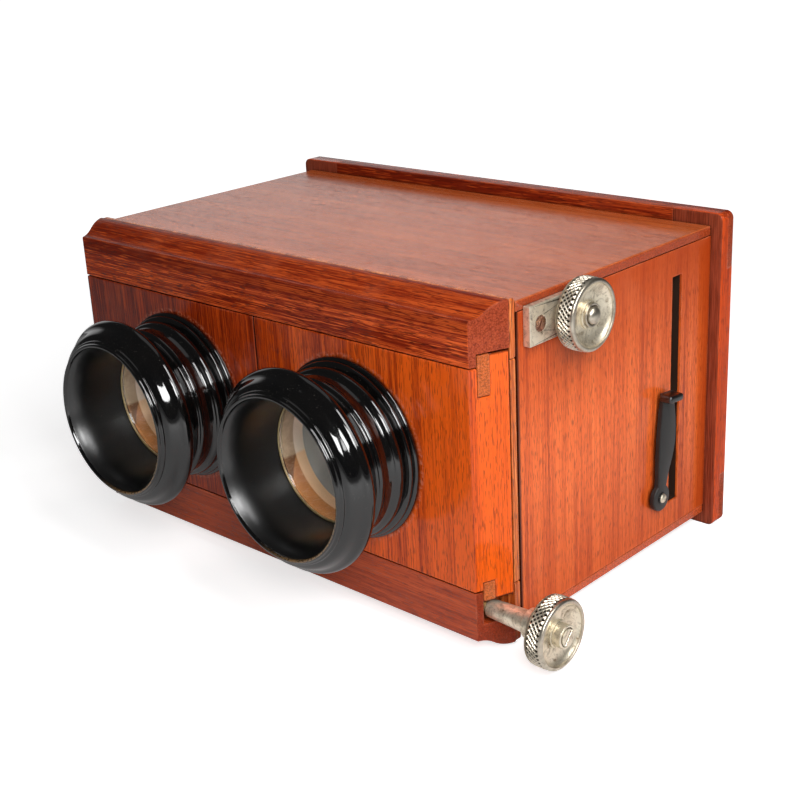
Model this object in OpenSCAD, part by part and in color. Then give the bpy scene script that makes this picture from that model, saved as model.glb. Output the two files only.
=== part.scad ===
// Box stereoscope for glass stereo slides. All sizes are in millimetres.
// Origin: centre of the case's underside. +X is the knob side, -Y the eyepiece side, +Z is up.

/* [Case] */
// Width of the case
case_w = 150; // [146:1:170]
// Depth of the case, from its front edge to the rear frame
case_d = 82; // [80:0.5:100]
// Height of the case
case_h = 82.3; // [80:0.1:95]
// Thickness of the top and bottom boards
board_t = 2.6; // [2:0.1:4]
// Thickness of the side boards
side_t = 8; // [7:0.5:9]

/* [Rear frame] */
// How far the rear frame stands out past the case, all round
overhang = 3.4; // [1.5:0.1:4]
// Thickness of the rear frame
rear_t = 5.6; // [4:0.2:8]
// Width of the rails and stiles
member_w = 15; // [12:0.5:18]
// Radius of the frame's rounded outer corners
corner_r = 2; // [1:0.25:3]

/* [Ground glass] */
// Thickness of the ground glass
pane_t = 2; // [1.5:0.5:3]
// Side of the square beads that hold the ground glass
bead_w = 4; // [3:0.5:5]

/* [Slide] */
// Height of the glass slide
slide_h = 60; // [56:1:60]
// Room above and below the slide, together
slide_room = 3; // [1:0.5:4]
// Width of the slide slot
slot_w = 4.4; // [4.2:0.1:5.4]
// Middle of the slot, in front of the case's rear edge
slot_ahead = 15.9; // [13:0.1:20]
// Front-to-back size of the slide guides
guide_w = 12; // [9:0.5:13]
// How far the guides' lips hold the slide
guide_lip = 3; // [2:0.5:4]
// Thickness of the septum between the two views
septum_t = 3; // [2:0.5:5]
// Front edge of the septum, behind the case's front edge
septum_back = 6; // [4:0.5:12]

/* [Slot lever] */
// Height of the lever's pivot above the foot of the slot
lever_pivot_rise = 4.4; // [3:0.1:8]
// Distance of the lever's pivot in front of the slot's front edge
lever_pivot_ahead = 6.5; // [6.2:0.1:10]
// Length of the lever from its pivot to its thumb tab
lever_len = 29.1; // [24:0.1:34]
// Thickness of the lever
lever_t = 1.4; // [1:0.1:2]
// Radius of the lever's round end
lever_eye_r = 3.7; // [2.8:0.1:4]
// Widest part of the lever's blade
lever_w = 7; // [5:0.1:7.5]
// Lean of the lever towards the slot, in degrees
lever_lean = 5.5; // [2:0.5:6]
// Radius of the pivot screw
pivot_r = 1; // [0.8:0.1:1.3]

/* [Front unit] */
// Distance from the case's front edge to the front face
front_reach = 12.4; // [12:0.1:15]
// How much narrower the front face is than the case, at each end
end_bevel = 3.7; // [1:0.1:5]
// Thickness of the rails' lips in front of the lens panels
lip_t = 1.9; // [1.6:0.1:2.6]
// Height of the cornice's lip below the case's top
cornice_drop = 13; // [11:0.5:14]
// Height of the cornice above the case's top
cornice_rise = 1.2; // [0.6:0.1:3]
// How far the foot rail hangs below the case's underside
foot_drop = 2.5; // [1.5:0.1:4]
// Height of the foot rail's lip above the case's underside
foot_rail_rise = 13.4; // [13:0.1:15]
// How far the panels' tongues reach behind the lips
tongue_h = 2.7; // [2:0.1:3]
// Radius of the moulding's cove
cove_r = 6.4; // [5.6:0.1:6.6]
// Radius of the moulding's swell
swell_r = 8.7; // [7:0.1:8.9]
// Thickness of the frame behind the lens panels
frame_t = 1.9; // [1.5:0.1:3]
// Width of the frame's bars at the two ends
frame_bar_w = 12; // [10:0.5:14]
// Width of the bar behind the seam of the lens panels
muntin_w = 12; // [10:0.5:14]
// Gap between the closed drawer's frame and the case
drawer_gap = 0.5; // [0.3:0.1:1]

/* [Drawer] */
// Thickness of the drawer's side boards
drawer_side_t = 3.5; // [3:0.25:5]
// Length of the drawer's side boards inside the case
drawer_side_len = 40; // [36:1:48]

/* [Eyepieces] */
// Distance between the eyepieces' axes
eye_spacing = 64.4; // [62:0.2:70]
// Radius of the eyepiece's base flange
base_r = 23.3; // [22.5:0.1:24]
// Largest radius of the bell
bell_r = 25.6; // [24.5:0.1:27]
// Length of the eyepiece in front of the lens panel
eyecup_len = 25; // [24:0.2:28]
// Radius of the mouth
mouth_r = 19.8; // [19:0.1:20.6]
// Radius of the lens
lens_r = 16.9; // [16:0.1:17.4]
// Thickness of the lens at its edge
lens_edge_t = 2.6; // [2:0.1:3]
// Bulge of each lens face
lens_bulge = 1.2; // [1:0.1:2.2]
// Thickness of the lens's retaining ring
lens_ring_t = 1.2; // [0.8:0.1:1.5]

/* [Focus drive] */
// Shaft axis, behind the case's front edge
focus_back = 18; // [16:0.2:19]
// Radius of the focus shaft
focus_shaft_r = 2; // [1.6:0.05:2.1]
// Number of teeth on a pinion
pinion_teeth = 10; // [10:1:11]
// Module of the rack and pinion
gear_module = 0.6; // [0.58:0.01:0.62]
// Length of the racks
rack_len = 28; // [26:0.5:30]
// Front end of the racks, behind the case's front edge
rack_back = 8; // [6:0.5:9]
// Height of a rack below its teeth
rack_base_h = 2.5; // [1.5:0.1:3]
// Distance of the bearing plate's front end ahead of the shaft
plate_ahead = 15.5; // [14:0.1:15.8]
// Length of the bearing plate
plate_len = 27; // [25:0.1:30]
// Height of the bearing plate
plate_h = 9.6; // [9:0.1:10]
// Thickness of the bearing plate
plate_t = 1.9; // [1:0.1:2.2]
// Distance of the plate's screws from its ends
plate_screw_inset = 4; // [3:0.1:5]
// Radius of the plate screws' heads
plate_screw_r = 1.9; // [1.5:0.1:2.2]

/* [Interocular drive] */
// Spindle axis, behind the front face
spindle_back = 5.5; // [5:0.05:5.8]
// Room between the panels' feet and the top of the spindle's nut block
spindle_drop = 0.95; // [0.8:0.05:1.6]
// Radius of the spindle
spindle_r = 1.5; // [1.2:0.05:1.6]
// Lead of the spindle's two threads
spindle_lead = 2; // [1.5:0.25:2.5]
// Length of each threaded stretch
thread_len = 18; // [16:0.5:22]
// Side of the square nuts
nut_w = 4.5; // [4.2:0.1:4.6]
// Length of the nuts
nut_len = 9; // [7:0.5:10]
// Length of the spindle's bearings
bearing_len = 5; // [3:0.5:6]
// Length of the tapered stem between the end bearing and the collar
stem_len = 11; // [8:0.5:12]
// Length of the collar behind the spindle's knob
collar_len = 5.2; // [4:0.1:7]

/* [Knobs] */
// Diameter of both knobs
knob_d = 17.4; // [14:0.2:18]
// Thickness of both knobs
knob_t = 5; // [4:0.2:6]
// Depth of the dish in a knob's face
dish_depth = 1.2; // [0.6:0.1:1.6]
// Radius of a knob's hub
hub_r = 2.9; // [2.6:0.1:3.2]

/* [Clearances] */
// Running clearance of shafts in their bearings, on the radius
run_gap = 0.05; // [0.03:0.01:0.08]
// Clearance between sliding wooden pieces
slide_gap = 0.25; // [0.2:0.05:0.35]
// Clearance between turning pieces that lie side by side
side_gap = 0.4; // [0.3:0.05:0.5]
// Backlash of the rack and pinion
backlash = 0.06; // [0.04:0.01:0.1]

/* [Hidden] */
$fn = 64;

// Planes of the case
front_y = -case_d / 2;
rear_y = case_d / 2;
half_w = case_w / 2;
inner_half_w = half_w - side_t;
inner_top_z = case_h - board_t;
mid_z = case_h / 2;

// Rear frame
lap_t = rear_t / 2;
rear_half_w = half_w + overhang;

// Ground glass and its beads
pane_front_y = rear_y - pane_t;
bead_front_y = pane_front_y - bead_w;

// Slide slot and guides
slot_h = slide_h + slide_room;
slot_foot_z = mid_z - slot_h / 2;
slot_top_z = mid_z + slot_h / 2;
slot_y = rear_y - slot_ahead;
guide_front_y = slot_y - guide_w / 2;
guide_underside_z = slot_top_z - guide_lip;

// Slot lever
lever_y = slot_y - slot_w / 2 - lever_pivot_ahead;
lever_z = slot_foot_z + lever_pivot_rise;
washer_t = 0.8;
washer_r = 2.2;
lever_x = half_w + washer_t;
lever_neck_w = 3.8;
lever_top_w = 5;
lever_bulge_at = 0.5;
lever_bulge_back = 1.2;
tab_w = 6;
tab_out = 2.6;
tab_t = 1.3;
pivot_head_r = 1.6;
pivot_head_h = 0.9;
pivot_sink = 5;

// Front unit
face_y = front_y - front_reach;
frame_back_y = front_y - drawer_gap;
frame_front_y = frame_back_y - frame_t;
groove_y = face_y + lip_t;
front_half_w = half_w - end_bevel;
quirk_d = 0.2;
quirk_h = 0.4;
cove_turn = 38;
swell_x = quirk_d + (cove_r + swell_r) * sin(cove_turn);
swell_z = quirk_h + cove_r - (cove_r + swell_r) * cos(cove_turn);
mould_h = swell_z + swell_r;
back_drop = 0.2;
cornice_lip_z = case_h - cornice_drop;
panel_top_z = cornice_lip_z + tongue_h;
cornice_groove_z = panel_top_z + slide_gap;
cornice_edge_z = case_h + cornice_rise - mould_h;
foot_lip_z = foot_rail_rise;
panel_foot_z = foot_lip_z - tongue_h;
foot_edge_z = mould_h - foot_drop;

// Interocular spindle
spindle_y = face_y + spindle_back;
spindle_z = panel_foot_z - spindle_drop - nut_w / 2;
foot_groove_z = spindle_z - nut_w / 2 - side_gap;
thread_depth = 0.25;
nut_x = eye_spacing / 2 + 6;
thread_x = nut_x - 3;
bearing_out_x = front_half_w - 1;
bearing_in_x = bearing_out_x - bearing_len;
thrust_w = 1.2;
thrust_r = 2.1;
stem_r = 2.3;
stem_x = front_half_w;
stem_top_r = 2.8;
collar_x = stem_x + stem_len;
collar_r = 3.7;
spindle_knob_x = collar_x + collar_len;

// Lens panels and eyepieces
panel_bore_r = lens_r + 1.2;
panel_tongue_y = groove_y + slide_gap;
panel_back_y = frame_front_y - slide_gap;
seam_gap = 0.1;
spigot_len = 1.2;
spigot_gap = 0.1;
cell_foot = 5.2;
shoulder_r = lens_r - 0.8;
cell_top = cell_foot + lens_edge_t + lens_ring_t + 0.8;
key_depth = 6;
key_y0 = panel_tongue_y;
key_y1 = key_y0 + 3;
top_key_h = 10;
foot_key_h = 5;

// Focus drive
pitch_r = gear_module * pinion_teeth / 2;
pressure_angle = 20;
base_circle_r = pitch_r * cos(pressure_angle);
pinion_tip_r = pitch_r + 0.5;
pinion_root_r = pitch_r - 0.72;
tooth_pitch = PI * gear_module;
rack_tip = 0.34;
rack_root = 0.75;
focus_y = front_y + focus_back;
focus_z = inner_top_z - pinion_tip_r - 0.3;
rack_pitch_z = focus_z - pitch_r;
rack_foot_z = rack_pitch_z - rack_root - rack_base_h;
bush_r = 3.6;
bush_len = 5;
boss_r = 4.2;
boss_len = 1.3;
plate_x = half_w + plate_t;
plate_front_y = focus_y - plate_ahead;
plate_back_y = plate_front_y + plate_len;
plate_screw_ys = [plate_front_y + plate_screw_inset, plate_back_y - plate_screw_inset];
focus_knob_x = plate_x + boss_len + side_gap;
screw_len = 6;
screw_shank_r = 0.9;

// Drawer sides
drawer_side_x = inner_half_w - slide_gap;
drawer_foot_z = board_t + slide_gap;
pinion_w = drawer_side_t;

// Knobs
knob_r = knob_d / 2;
knob_rim = 1.3;
knob_chamfer = 0.5;
dome_h = 1.4;
slot_cut_w = 0.6;
slot_cut_depth = 0.5;

// Colours
mahogany = "#9a3f22";
dark_mahogany = "#7c2c18";
pale_wood = "#b08a5e";
black_lacquer = "#101012";
nickel = "#c9c2b2";
brass = "#b08d4a";
dark_steel = "#3c3c3e";
copper_tint = "#9c7a62";
clear_glass = [0.8, 0.9, 0.9, 0.4];
frosted_glass = [0.75, 0.77, 0.75, 0.8];

// General shapes

// A box between two corners, given as a range along each axis
module block(x, y, z) {
    translate([x[0], y[0], z[0]])
        cube([x[1] - x[0], y[1] - y[0], z[1] - z[0]]);
}

// A round bar along X
module rod_x(x, y, z, r) {
    translate([x[0], y, z])
        rotate([0, 90, 0])
            cylinder(h = x[1] - x[0], r = r);
}

// A flat shape drawn in Y and Z, drawn out along X
module along_x(x) {
    translate([x[0], 0, 0])
        rotate([90, 0, 90])
            linear_extrude(x[1] - x[0])
                children();
}

// A profile of radius and distance, turned about an axis along +X
module turned_x(x, y, z) {
    translate([x, y, z])
        rotate([0, 90, 0])
            rotate_extrude()
                children();
}

// A profile of radius and distance, turned about an axis along -Y
module turned_front(x, y, z) {
    translate([x, y, z])
        rotate([90, 0, 0])
            rotate_extrude()
                children();
}

// The right-hand piece as drawn, or its mirror image for the left
module on_side(s) {
    if (s > 0) {
        children();
    } else {
        mirror([1, 0, 0])
            children();
    }
}

// Points along an arc
function arc(cx, cy, r, a0, a1, n) =
    [for (i = [0 : n]) [cx + r * cos(a0 + (a1 - a0) * i / n), cy + r * sin(a0 + (a1 - a0) * i / n)]];

// A rectangle with rounded corners, centred
module rounded_rect(w, h, r) {
    square([w - 2 * r, h], center = true);
    square([w, h - 2 * r], center = true);
    for (sx = [-1, 1], sy = [-1, 1])
        translate([sx * (w / 2 - r), sy * (h / 2 - r)])
            circle(r);
}

// Case boards

module case_top() {
    color(mahogany)
        block([-half_w, half_w], [front_y, rear_y], [inner_top_z, case_h]);
}

module case_bottom() {
    color(mahogany)
        block([-half_w, half_w], [front_y, rear_y], [0, board_t]);
}

module side_board() {
    block([inner_half_w, half_w], [front_y, rear_y], [board_t, inner_top_z]);
}

module case_side_left() {
    color(mahogany)
        difference() {
            on_side(-1)
                side_board();
            rod_x([-inner_half_w - bush_len, -inner_half_w + 1], focus_y, focus_z, bush_r);
        }
}

module case_side_right() {
    cut = [inner_half_w - 1, half_w + 1];
    color(mahogany)
        difference() {
            side_board();
            block(cut, [slot_y - slot_w / 2, slot_y + slot_w / 2], [slot_foot_z, slot_top_z]);
            rod_x(cut, focus_y, focus_z, focus_shaft_r + side_gap);
            rod_x([half_w - pivot_sink, half_w + 1], lever_y, lever_z, pivot_r);
            for (y = plate_screw_ys)
                rod_x([plate_x - screw_len, half_w + 1], y, focus_z, screw_shank_r);
        }
}

// Rear frame, half lapped at the corners: the rails run through behind, the stiles in front

// The part of the frame's outline between two heights, over a range of depth
module rear_slab(y, x, z) {
    intersection() {
        translate([0, y[1], mid_z])
            rotate([90, 0, 0])
                linear_extrude(y[1] - y[0])
                    rounded_rect(2 * rear_half_w, case_h + 2 * overhang, corner_r);
        block(x, [y[0] - 1, y[1] + 1], z);
    }
}

module rear_rail(z) {
    stile_x = rear_half_w - member_w;
    color(dark_mahogany)
        union() {
            rear_slab([rear_y, rear_y + rear_t], [-stile_x, stile_x], z);
            rear_slab([rear_y + lap_t, rear_y + rear_t], [-rear_half_w, rear_half_w], z);
        }
}

module rear_stile(s) {
    top_z = case_h + overhang;
    color(dark_mahogany)
        on_side(s)
            union() {
                rear_slab([rear_y, rear_y + lap_t], [rear_half_w - member_w, rear_half_w],
                    [-overhang, top_z]);
                rear_slab([rear_y + lap_t, rear_y + rear_t], [rear_half_w - member_w, rear_half_w],
                    [member_w - overhang, top_z - member_w]);
            }
}

module rear_frame_top_rail() { rear_rail([case_h + overhang - member_w, case_h + overhang]); }
module rear_frame_bottom_rail() { rear_rail([-overhang, member_w - overhang]); }
module rear_frame_left_stile() { rear_stile(-1); }
module rear_frame_right_stile() { rear_stile(1); }

// Ground glass and its beads

module ground_glass() {
    color(frosted_glass)
        block([-inner_half_w, inner_half_w], [pane_front_y, rear_y], [board_t, inner_top_z]);
}

module flat_bead(z) {
    color(pale_wood)
        block([-inner_half_w, inner_half_w], [bead_front_y, pane_front_y], z);
}

module upright_bead(s) {
    color(pale_wood)
        on_side(s)
            block([inner_half_w - bead_w, inner_half_w], [bead_front_y, pane_front_y],
                [board_t + bead_w, inner_top_z - bead_w]);
}

module glass_bead_top() { flat_bead([inner_top_z - bead_w, inner_top_z]); }
module glass_bead_bottom() { flat_bead([board_t, board_t + bead_w]); }
module glass_bead_left() { upright_bead(-1); }
module glass_bead_right() { upright_bead(1); }

// Slide guides and septum

// A channel across the case, between two heights, whose groove takes the slide's edge
module slide_guide(z, groove_z) {
    color(pale_wood)
        difference() {
            block([-inner_half_w, inner_half_w], [guide_front_y, guide_front_y + guide_w], z);
            block([-half_w, half_w], [slot_y - slot_w / 2, slot_y + slot_w / 2], groove_z);
        }
}

module slide_guide_top() {
    slide_guide([guide_underside_z, inner_top_z], [guide_underside_z - 1, slot_top_z]);
}

module slide_guide_bottom() {
    slide_guide([board_t, slot_foot_z + guide_lip], [slot_foot_z, slot_foot_z + guide_lip + 1]);
}

module septum() {
    color(pale_wood)
        block([-septum_t / 2, septum_t / 2], [front_y + septum_back, guide_front_y],
            [board_t, min(guide_underside_z, focus_z - focus_shaft_r - 0.5)]);
}

// Slot lever

module lever_washer() {
    color(dark_steel)
        difference() {
            rod_x([half_w, lever_x], lever_y, lever_z, washer_r);
            rod_x([half_w - 1, lever_x + 1], lever_y, lever_z, pivot_r);
        }
}

module lever_pivot_screw() {
    head_x = lever_x + lever_t + run_gap;
    color(nickel)
        difference() {
            union() {
                rod_x([half_w - pivot_sink, head_x], lever_y, lever_z, pivot_r);
                rod_x([head_x, head_x + pivot_head_h], lever_y, lever_z, pivot_head_r);
            }
            block([head_x + pivot_head_h - slot_cut_depth, head_x + pivot_head_h + 1],
                [lever_y - slot_cut_w / 2, lever_y + slot_cut_w / 2],
                [lever_z - lever_eye_r, lever_z + lever_eye_r]);
        }
}

// Outline of the blade, seen from the side, with its pivot at the origin
function blade_points() = [
    [-lever_neck_w / 2, 0],
    [lever_neck_w / 2, 0],
    [lever_neck_w / 2, lever_eye_r + 0.8],
    [lever_bulge_back + lever_w / 2, lever_len * lever_bulge_at],
    [lever_top_w / 2, lever_len],
    [-lever_top_w / 2, lever_len],
    [lever_bulge_back - lever_w / 2, lever_len * lever_bulge_at],
    [-lever_neck_w / 2, lever_eye_r + 0.8]
];

module slot_lever() {
    color(dark_steel)
        translate([0, lever_y, lever_z])
            rotate([-lever_lean, 0, 0])
                difference() {
                    union() {
                        rod_x([lever_x + run_gap, lever_x + lever_t], 0, 0, lever_eye_r);
                        along_x([lever_x + run_gap, lever_x + lever_t])
                            polygon(blade_points());
                        block([lever_x + run_gap, lever_x + lever_t + tab_out], [-tab_w / 2, tab_w / 2],
                            [lever_len - tab_t, lever_len]);
                    }
                    rod_x([lever_x - 1, lever_x + lever_t + 1], 0, 0, pivot_r + run_gap);
                }
}

// Focus drive

module focus_bearing_plate() {
    color(nickel)
        difference() {
            union() {
                block([half_w, plate_x], [plate_front_y, plate_back_y],
                    [focus_z - plate_h / 2, focus_z + plate_h / 2]);
                rod_x([half_w, plate_x + boss_len], focus_y, focus_z, boss_r);
            }
            rod_x([half_w - 1, plate_x + boss_len + 1], focus_y, focus_z, focus_shaft_r + run_gap);
            for (y = plate_screw_ys)
                translate([half_w, y, focus_z])
                    rotate([0, 90, 0])
                        cylinder(h = plate_t, r1 = screw_shank_r, r2 = plate_screw_r);
        }
}

module plate_screw() {
    turned_x(plate_x, 0, 0)
        polygon([
            [0, 0], [plate_screw_r, 0], [screw_shank_r, -plate_t],
            [screw_shank_r, -screw_len], [0, -screw_len]
        ]);
}

module plate_screws() {
    color(copper_tint)
        for (y = plate_screw_ys)
            translate([0, y, focus_z])
                difference() {
                    plate_screw();
                    rotate([-35, 0, 0])
                        block([plate_x - slot_cut_depth, plate_x + 1], [-slot_cut_w / 2, slot_cut_w / 2],
                            [-2 * plate_screw_r, 2 * plate_screw_r]);
                }
}

module focus_bush() {
    color(brass)
        difference() {
            rod_x([-inner_half_w - bush_len, -inner_half_w], focus_y, focus_z, bush_r);
            rod_x([-inner_half_w - bush_len - 1, -inner_half_w + 1], focus_y, focus_z,
                focus_shaft_r + run_gap);
        }
}

module focus_shaft() {
    color(nickel)
        rod_x([-inner_half_w - bush_len + side_gap, focus_knob_x + knob_t - dish_depth],
            focus_y, focus_z, focus_shaft_r);
}

// Half angle of a pinion tooth at a radius, from the involute
function involute(a) = tan(a) * 180 / PI - a;
function tooth_half_angle(r) =
    90 / pinion_teeth - backlash / 2 / pitch_r * 90 / PI + involute(pressure_angle)
    - involute(acos(min(1, base_circle_r / r)));
function flank_radii() = [
    pinion_root_r, base_circle_r, pitch_r, (pitch_r + pinion_tip_r) / 2, pinion_tip_r
];
function tooth_points(middle) = concat(
    [for (r = flank_radii()) r * [cos(middle - tooth_half_angle(r)), sin(middle - tooth_half_angle(r))]],
    [for (i = [len(flank_radii()) - 1 : -1 : 0])
        flank_radii()[i] * [cos(middle + tooth_half_angle(flank_radii()[i])),
            sin(middle + tooth_half_angle(flank_radii()[i]))]]
);

module pinion(s) {
    color(brass)
        on_side(s)
            difference() {
                translate([0, focus_y, focus_z])
                    along_x([drawer_side_x - pinion_w, drawer_side_x])
                        polygon([
                            for (k = [0 : pinion_teeth - 1])
                                each tooth_points(k * 360 / pinion_teeth - 90)
                        ]);
                rod_x([0, half_w], focus_y, focus_z, focus_shaft_r);
            }
}

module pinion_left() { pinion(-1); }
module pinion_right() { pinion(1); }

// Half thickness of a rack tooth at a height above the pitch line
function rack_half(h) = tooth_pitch / 4 - backlash / 4 - h * tan(pressure_angle);
function rack_tooth(c) = [
    [c - rack_half(-rack_root), rack_pitch_z - rack_root],
    [c - rack_half(rack_tip), rack_pitch_z + rack_tip],
    [c + rack_half(rack_tip), rack_pitch_z + rack_tip],
    [c + rack_half(-rack_root), rack_pitch_z - rack_root]
];

module rack(s) {
    start_y = front_y + rack_back;
    end_y = start_y + rack_len;
    first = ceil((start_y + tooth_pitch / 2 - focus_y) / tooth_pitch - 0.5);
    last = floor((end_y - tooth_pitch / 2 - focus_y) / tooth_pitch - 0.5);
    color(brass)
        on_side(s)
            along_x([drawer_side_x - drawer_side_t, drawer_side_x])
                polygon(concat(
                    [[end_y, rack_foot_z], [start_y, rack_foot_z], [start_y, rack_pitch_z - rack_root]],
                    [for (k = [first : last]) each rack_tooth(focus_y + (k + 0.5) * tooth_pitch)],
                    [[end_y, rack_pitch_z - rack_root]]
                ));
}

module rack_left() { rack(-1); }
module rack_right() { rack(1); }

// Knobs: a rim, a dished face and a hub, bored for their shaft

module knob(x, y, z, bore_r) {
    face = knob_t - dish_depth;
    dish_r = knob_r - knob_rim;
    turned_x(x, y, z)
        polygon([
            [bore_r, 0],
            [knob_r - knob_chamfer, 0],
            [knob_r, knob_chamfer],
            [knob_r, knob_t - knob_chamfer],
            [knob_r - knob_chamfer, knob_t],
            [dish_r, knob_t],
            [dish_r - dish_depth / 2, face],
            [bore_r, face]
        ]);
}

module focus_knob() {
    color(nickel)
        knob(focus_knob_x, focus_y, focus_z, focus_shaft_r);
}

module focus_knob_nut() {
    dome_foot = dish_depth / 2;
    color(nickel)
        turned_x(focus_knob_x + knob_t - dish_depth, focus_y, focus_z)
            polygon(concat(
                [[0, 0], [hub_r, 0]],
                [for (a = [0 : 15 : 90]) [hub_r * cos(a), dome_foot + dome_h * sin(a)]]
            ));
}

// Front unit: outline in plan with bevelled ends, used to cut the rails, panels and keys

module front_plan(z) {
    translate([0, 0, z[0]])
        linear_extrude(z[1] - z[0])
            polygon([
                [-front_half_w, face_y], [front_half_w, face_y],
                [half_w, frame_front_y], [-half_w, frame_front_y]
            ]);
}

// Moulding of the rails, from the front edge: distance back and height
function moulding() = concat(
    [[0, 0]],
    arc(quirk_d, quirk_h + cove_r, cove_r, -90, cove_turn - 90, 6),
    arc(swell_x, swell_z, swell_r, 90 + cove_turn, 90, 6),
    [[frame_front_y - face_y, mould_h - back_drop]]
);

// A front rail: lip and groove on one side, moulding on the other
module front_rail(lip_z, edge_z, groove_z, up) {
    intersection() {
        along_x([-half_w, half_w])
            polygon(concat(
                [[groove_y, lip_z], [face_y, lip_z]],
                [for (p = moulding()) [face_y + p[0], edge_z + up * p[1]]],
                [[frame_front_y, groove_z], [groove_y, groove_z]]
            ));
        front_plan([-case_h, 2 * case_h]);
    }
}

module cornice() {
    color(dark_mahogany)
        front_rail(cornice_lip_z, cornice_edge_z, cornice_groove_z, 1);
}

module foot_rail() {
    color(dark_mahogany)
        front_rail(foot_lip_z, foot_edge_z, foot_groove_z, -1);
}

// Frame behind the lens panels

frame_y = [frame_front_y, frame_back_y];
frame_top_z = case_h + cornice_rise - back_drop;
frame_foot_z = back_drop - foot_drop;

module front_frame_top() {
    color(mahogany)
        block([-half_w, half_w], frame_y, [cornice_lip_z, frame_top_z]);
}

module front_frame_bottom() {
    color(mahogany)
        block([-half_w, half_w], frame_y, [frame_foot_z, foot_lip_z]);
}

module front_frame_bar(s) {
    color(mahogany)
        on_side(s)
            block([half_w - frame_bar_w, half_w], frame_y, [foot_lip_z, cornice_lip_z]);
}

module front_frame_left() { front_frame_bar(-1); }
module front_frame_right() { front_frame_bar(1); }

module front_frame_muntin() {
    color(pale_wood)
        block([-muntin_w / 2, muntin_w / 2], frame_y, [foot_lip_z, cornice_lip_z]);
}

// Drawer sides

module drawer_side(s) {
    color(pale_wood)
        on_side(s)
            block([drawer_side_x - drawer_side_t, drawer_side_x],
                [frame_back_y, front_y + drawer_side_len],
                [drawer_foot_z, rack_foot_z]);
}

module drawer_side_left() { drawer_side(-1); }
module drawer_side_right() { drawer_side(1); }

// Interocular drive

module spindle_bearing(s) {
    color(brass)
        on_side(s)
            difference() {
                block([bearing_in_x, bearing_out_x], [groove_y, frame_front_y],
                    [foot_groove_z, panel_foot_z - slide_gap]);
                rod_x([bearing_in_x - 1, bearing_out_x + 1], spindle_y, spindle_z, spindle_r + run_gap);
            }
}

module spindle_bearing_left() { spindle_bearing(-1); }
module spindle_bearing_right() { spindle_bearing(1); }

// Radii along one threaded stretch: a groove at each turn
function thread_points(x0) = [
    for (i = [0 : floor(thread_len / spindle_lead) - 1])
        each [
            [spindle_r, x0 + i * spindle_lead],
            [spindle_r - thread_depth, x0 + (i + 0.5) * spindle_lead],
            [spindle_r, x0 + (i + 0.9) * spindle_lead]
        ]
];

module spindle() {
    thread_start_x = thread_x - nut_len / 2;
    thrust_x = bearing_in_x - side_gap - thrust_w;
    color(brass)
        turned_x(0, spindle_y, spindle_z)
            polygon(concat(
                [[0, -bearing_out_x], [spindle_r, -bearing_out_x]],
                thread_points(-thread_start_x - thread_len),
                thread_points(thread_start_x),
                [
                    [spindle_r, thrust_x], [thrust_r, thrust_x], [thrust_r, thrust_x + thrust_w],
                    [spindle_r, thrust_x + thrust_w], [spindle_r, stem_x], [stem_r, stem_x],
                    [stem_top_r, collar_x], [spindle_r, collar_x],
                    [spindle_r, spindle_knob_x + knob_t - dish_depth],
                    [0, spindle_knob_x + knob_t - dish_depth]
                ]
            ));
}

module spindle_collar() {
    color(nickel)
        turned_x(collar_x, spindle_y, spindle_z)
            polygon([
                [spindle_r, 0], [collar_r - 0.6, 0], [collar_r, 0.6],
                [collar_r, collar_len], [spindle_r, collar_len]
            ]);
}

module spindle_knob() {
    color(nickel)
        knob(spindle_knob_x, spindle_y, spindle_z, spindle_r);
}

module spindle_knob_screw() {
    face_x = spindle_knob_x + knob_t - dish_depth;
    head_h = dish_depth + 1.4;
    color(nickel)
        difference() {
            turned_x(face_x, spindle_y, spindle_z)
                polygon([[0, 0], [hub_r, 0], [hub_r, head_h - 0.3], [hub_r - 0.3, head_h], [0, head_h]]);
            translate([0, spindle_y, spindle_z])
                rotate([25, 0, 0])
                    block([face_x + head_h - slot_cut_depth, face_x + head_h + 1],
                        [-slot_cut_w / 2, slot_cut_w / 2],
                        [-2 * hub_r, 2 * hub_r]);
        }
}

// Lens panels

// The right panel's slab with its tongues, before it is bored
module panel_slab() {
    intersection() {
        union() {
            block([seam_gap / 2, half_w], [face_y, panel_back_y],
                [foot_lip_z + slide_gap, cornice_lip_z - slide_gap]);
            block([seam_gap / 2, half_w], [panel_tongue_y, panel_back_y], [panel_foot_z, panel_top_z]);
        }
        front_plan([0, case_h]);
    }
}

// The two keys let into the panel's outer end
module key_blocks() {
    for (z = [[panel_foot_z, panel_foot_z + foot_key_h], [panel_top_z - top_key_h, panel_top_z]])
        intersection() {
            block([front_half_w - key_depth, half_w], [key_y0, key_y1], z);
            front_plan([0, case_h]);
        }
}

module lens_panel(s) {
    color(mahogany)
        on_side(s)
            difference() {
                panel_slab();
                key_blocks();
                turned_front(eye_spacing / 2, face_y - 1, mid_z)
                    translate([0, -front_reach - 2])
                        square([panel_bore_r, front_reach + 2]);
            }
}

module panel_keys(s) {
    color(dark_mahogany)
        on_side(s)
            key_blocks();
}

module nut(s) {
    color(brass)
        on_side(s)
            difference() {
                block([nut_x - nut_len / 2, nut_x + nut_len / 2],
                    [spindle_y - nut_w / 2, spindle_y + nut_w / 2],
                    [spindle_z - nut_w / 2, panel_foot_z]);
                rod_x([nut_x - nut_len, nut_x + nut_len], spindle_y, spindle_z, spindle_r + run_gap);
            }
}

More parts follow.
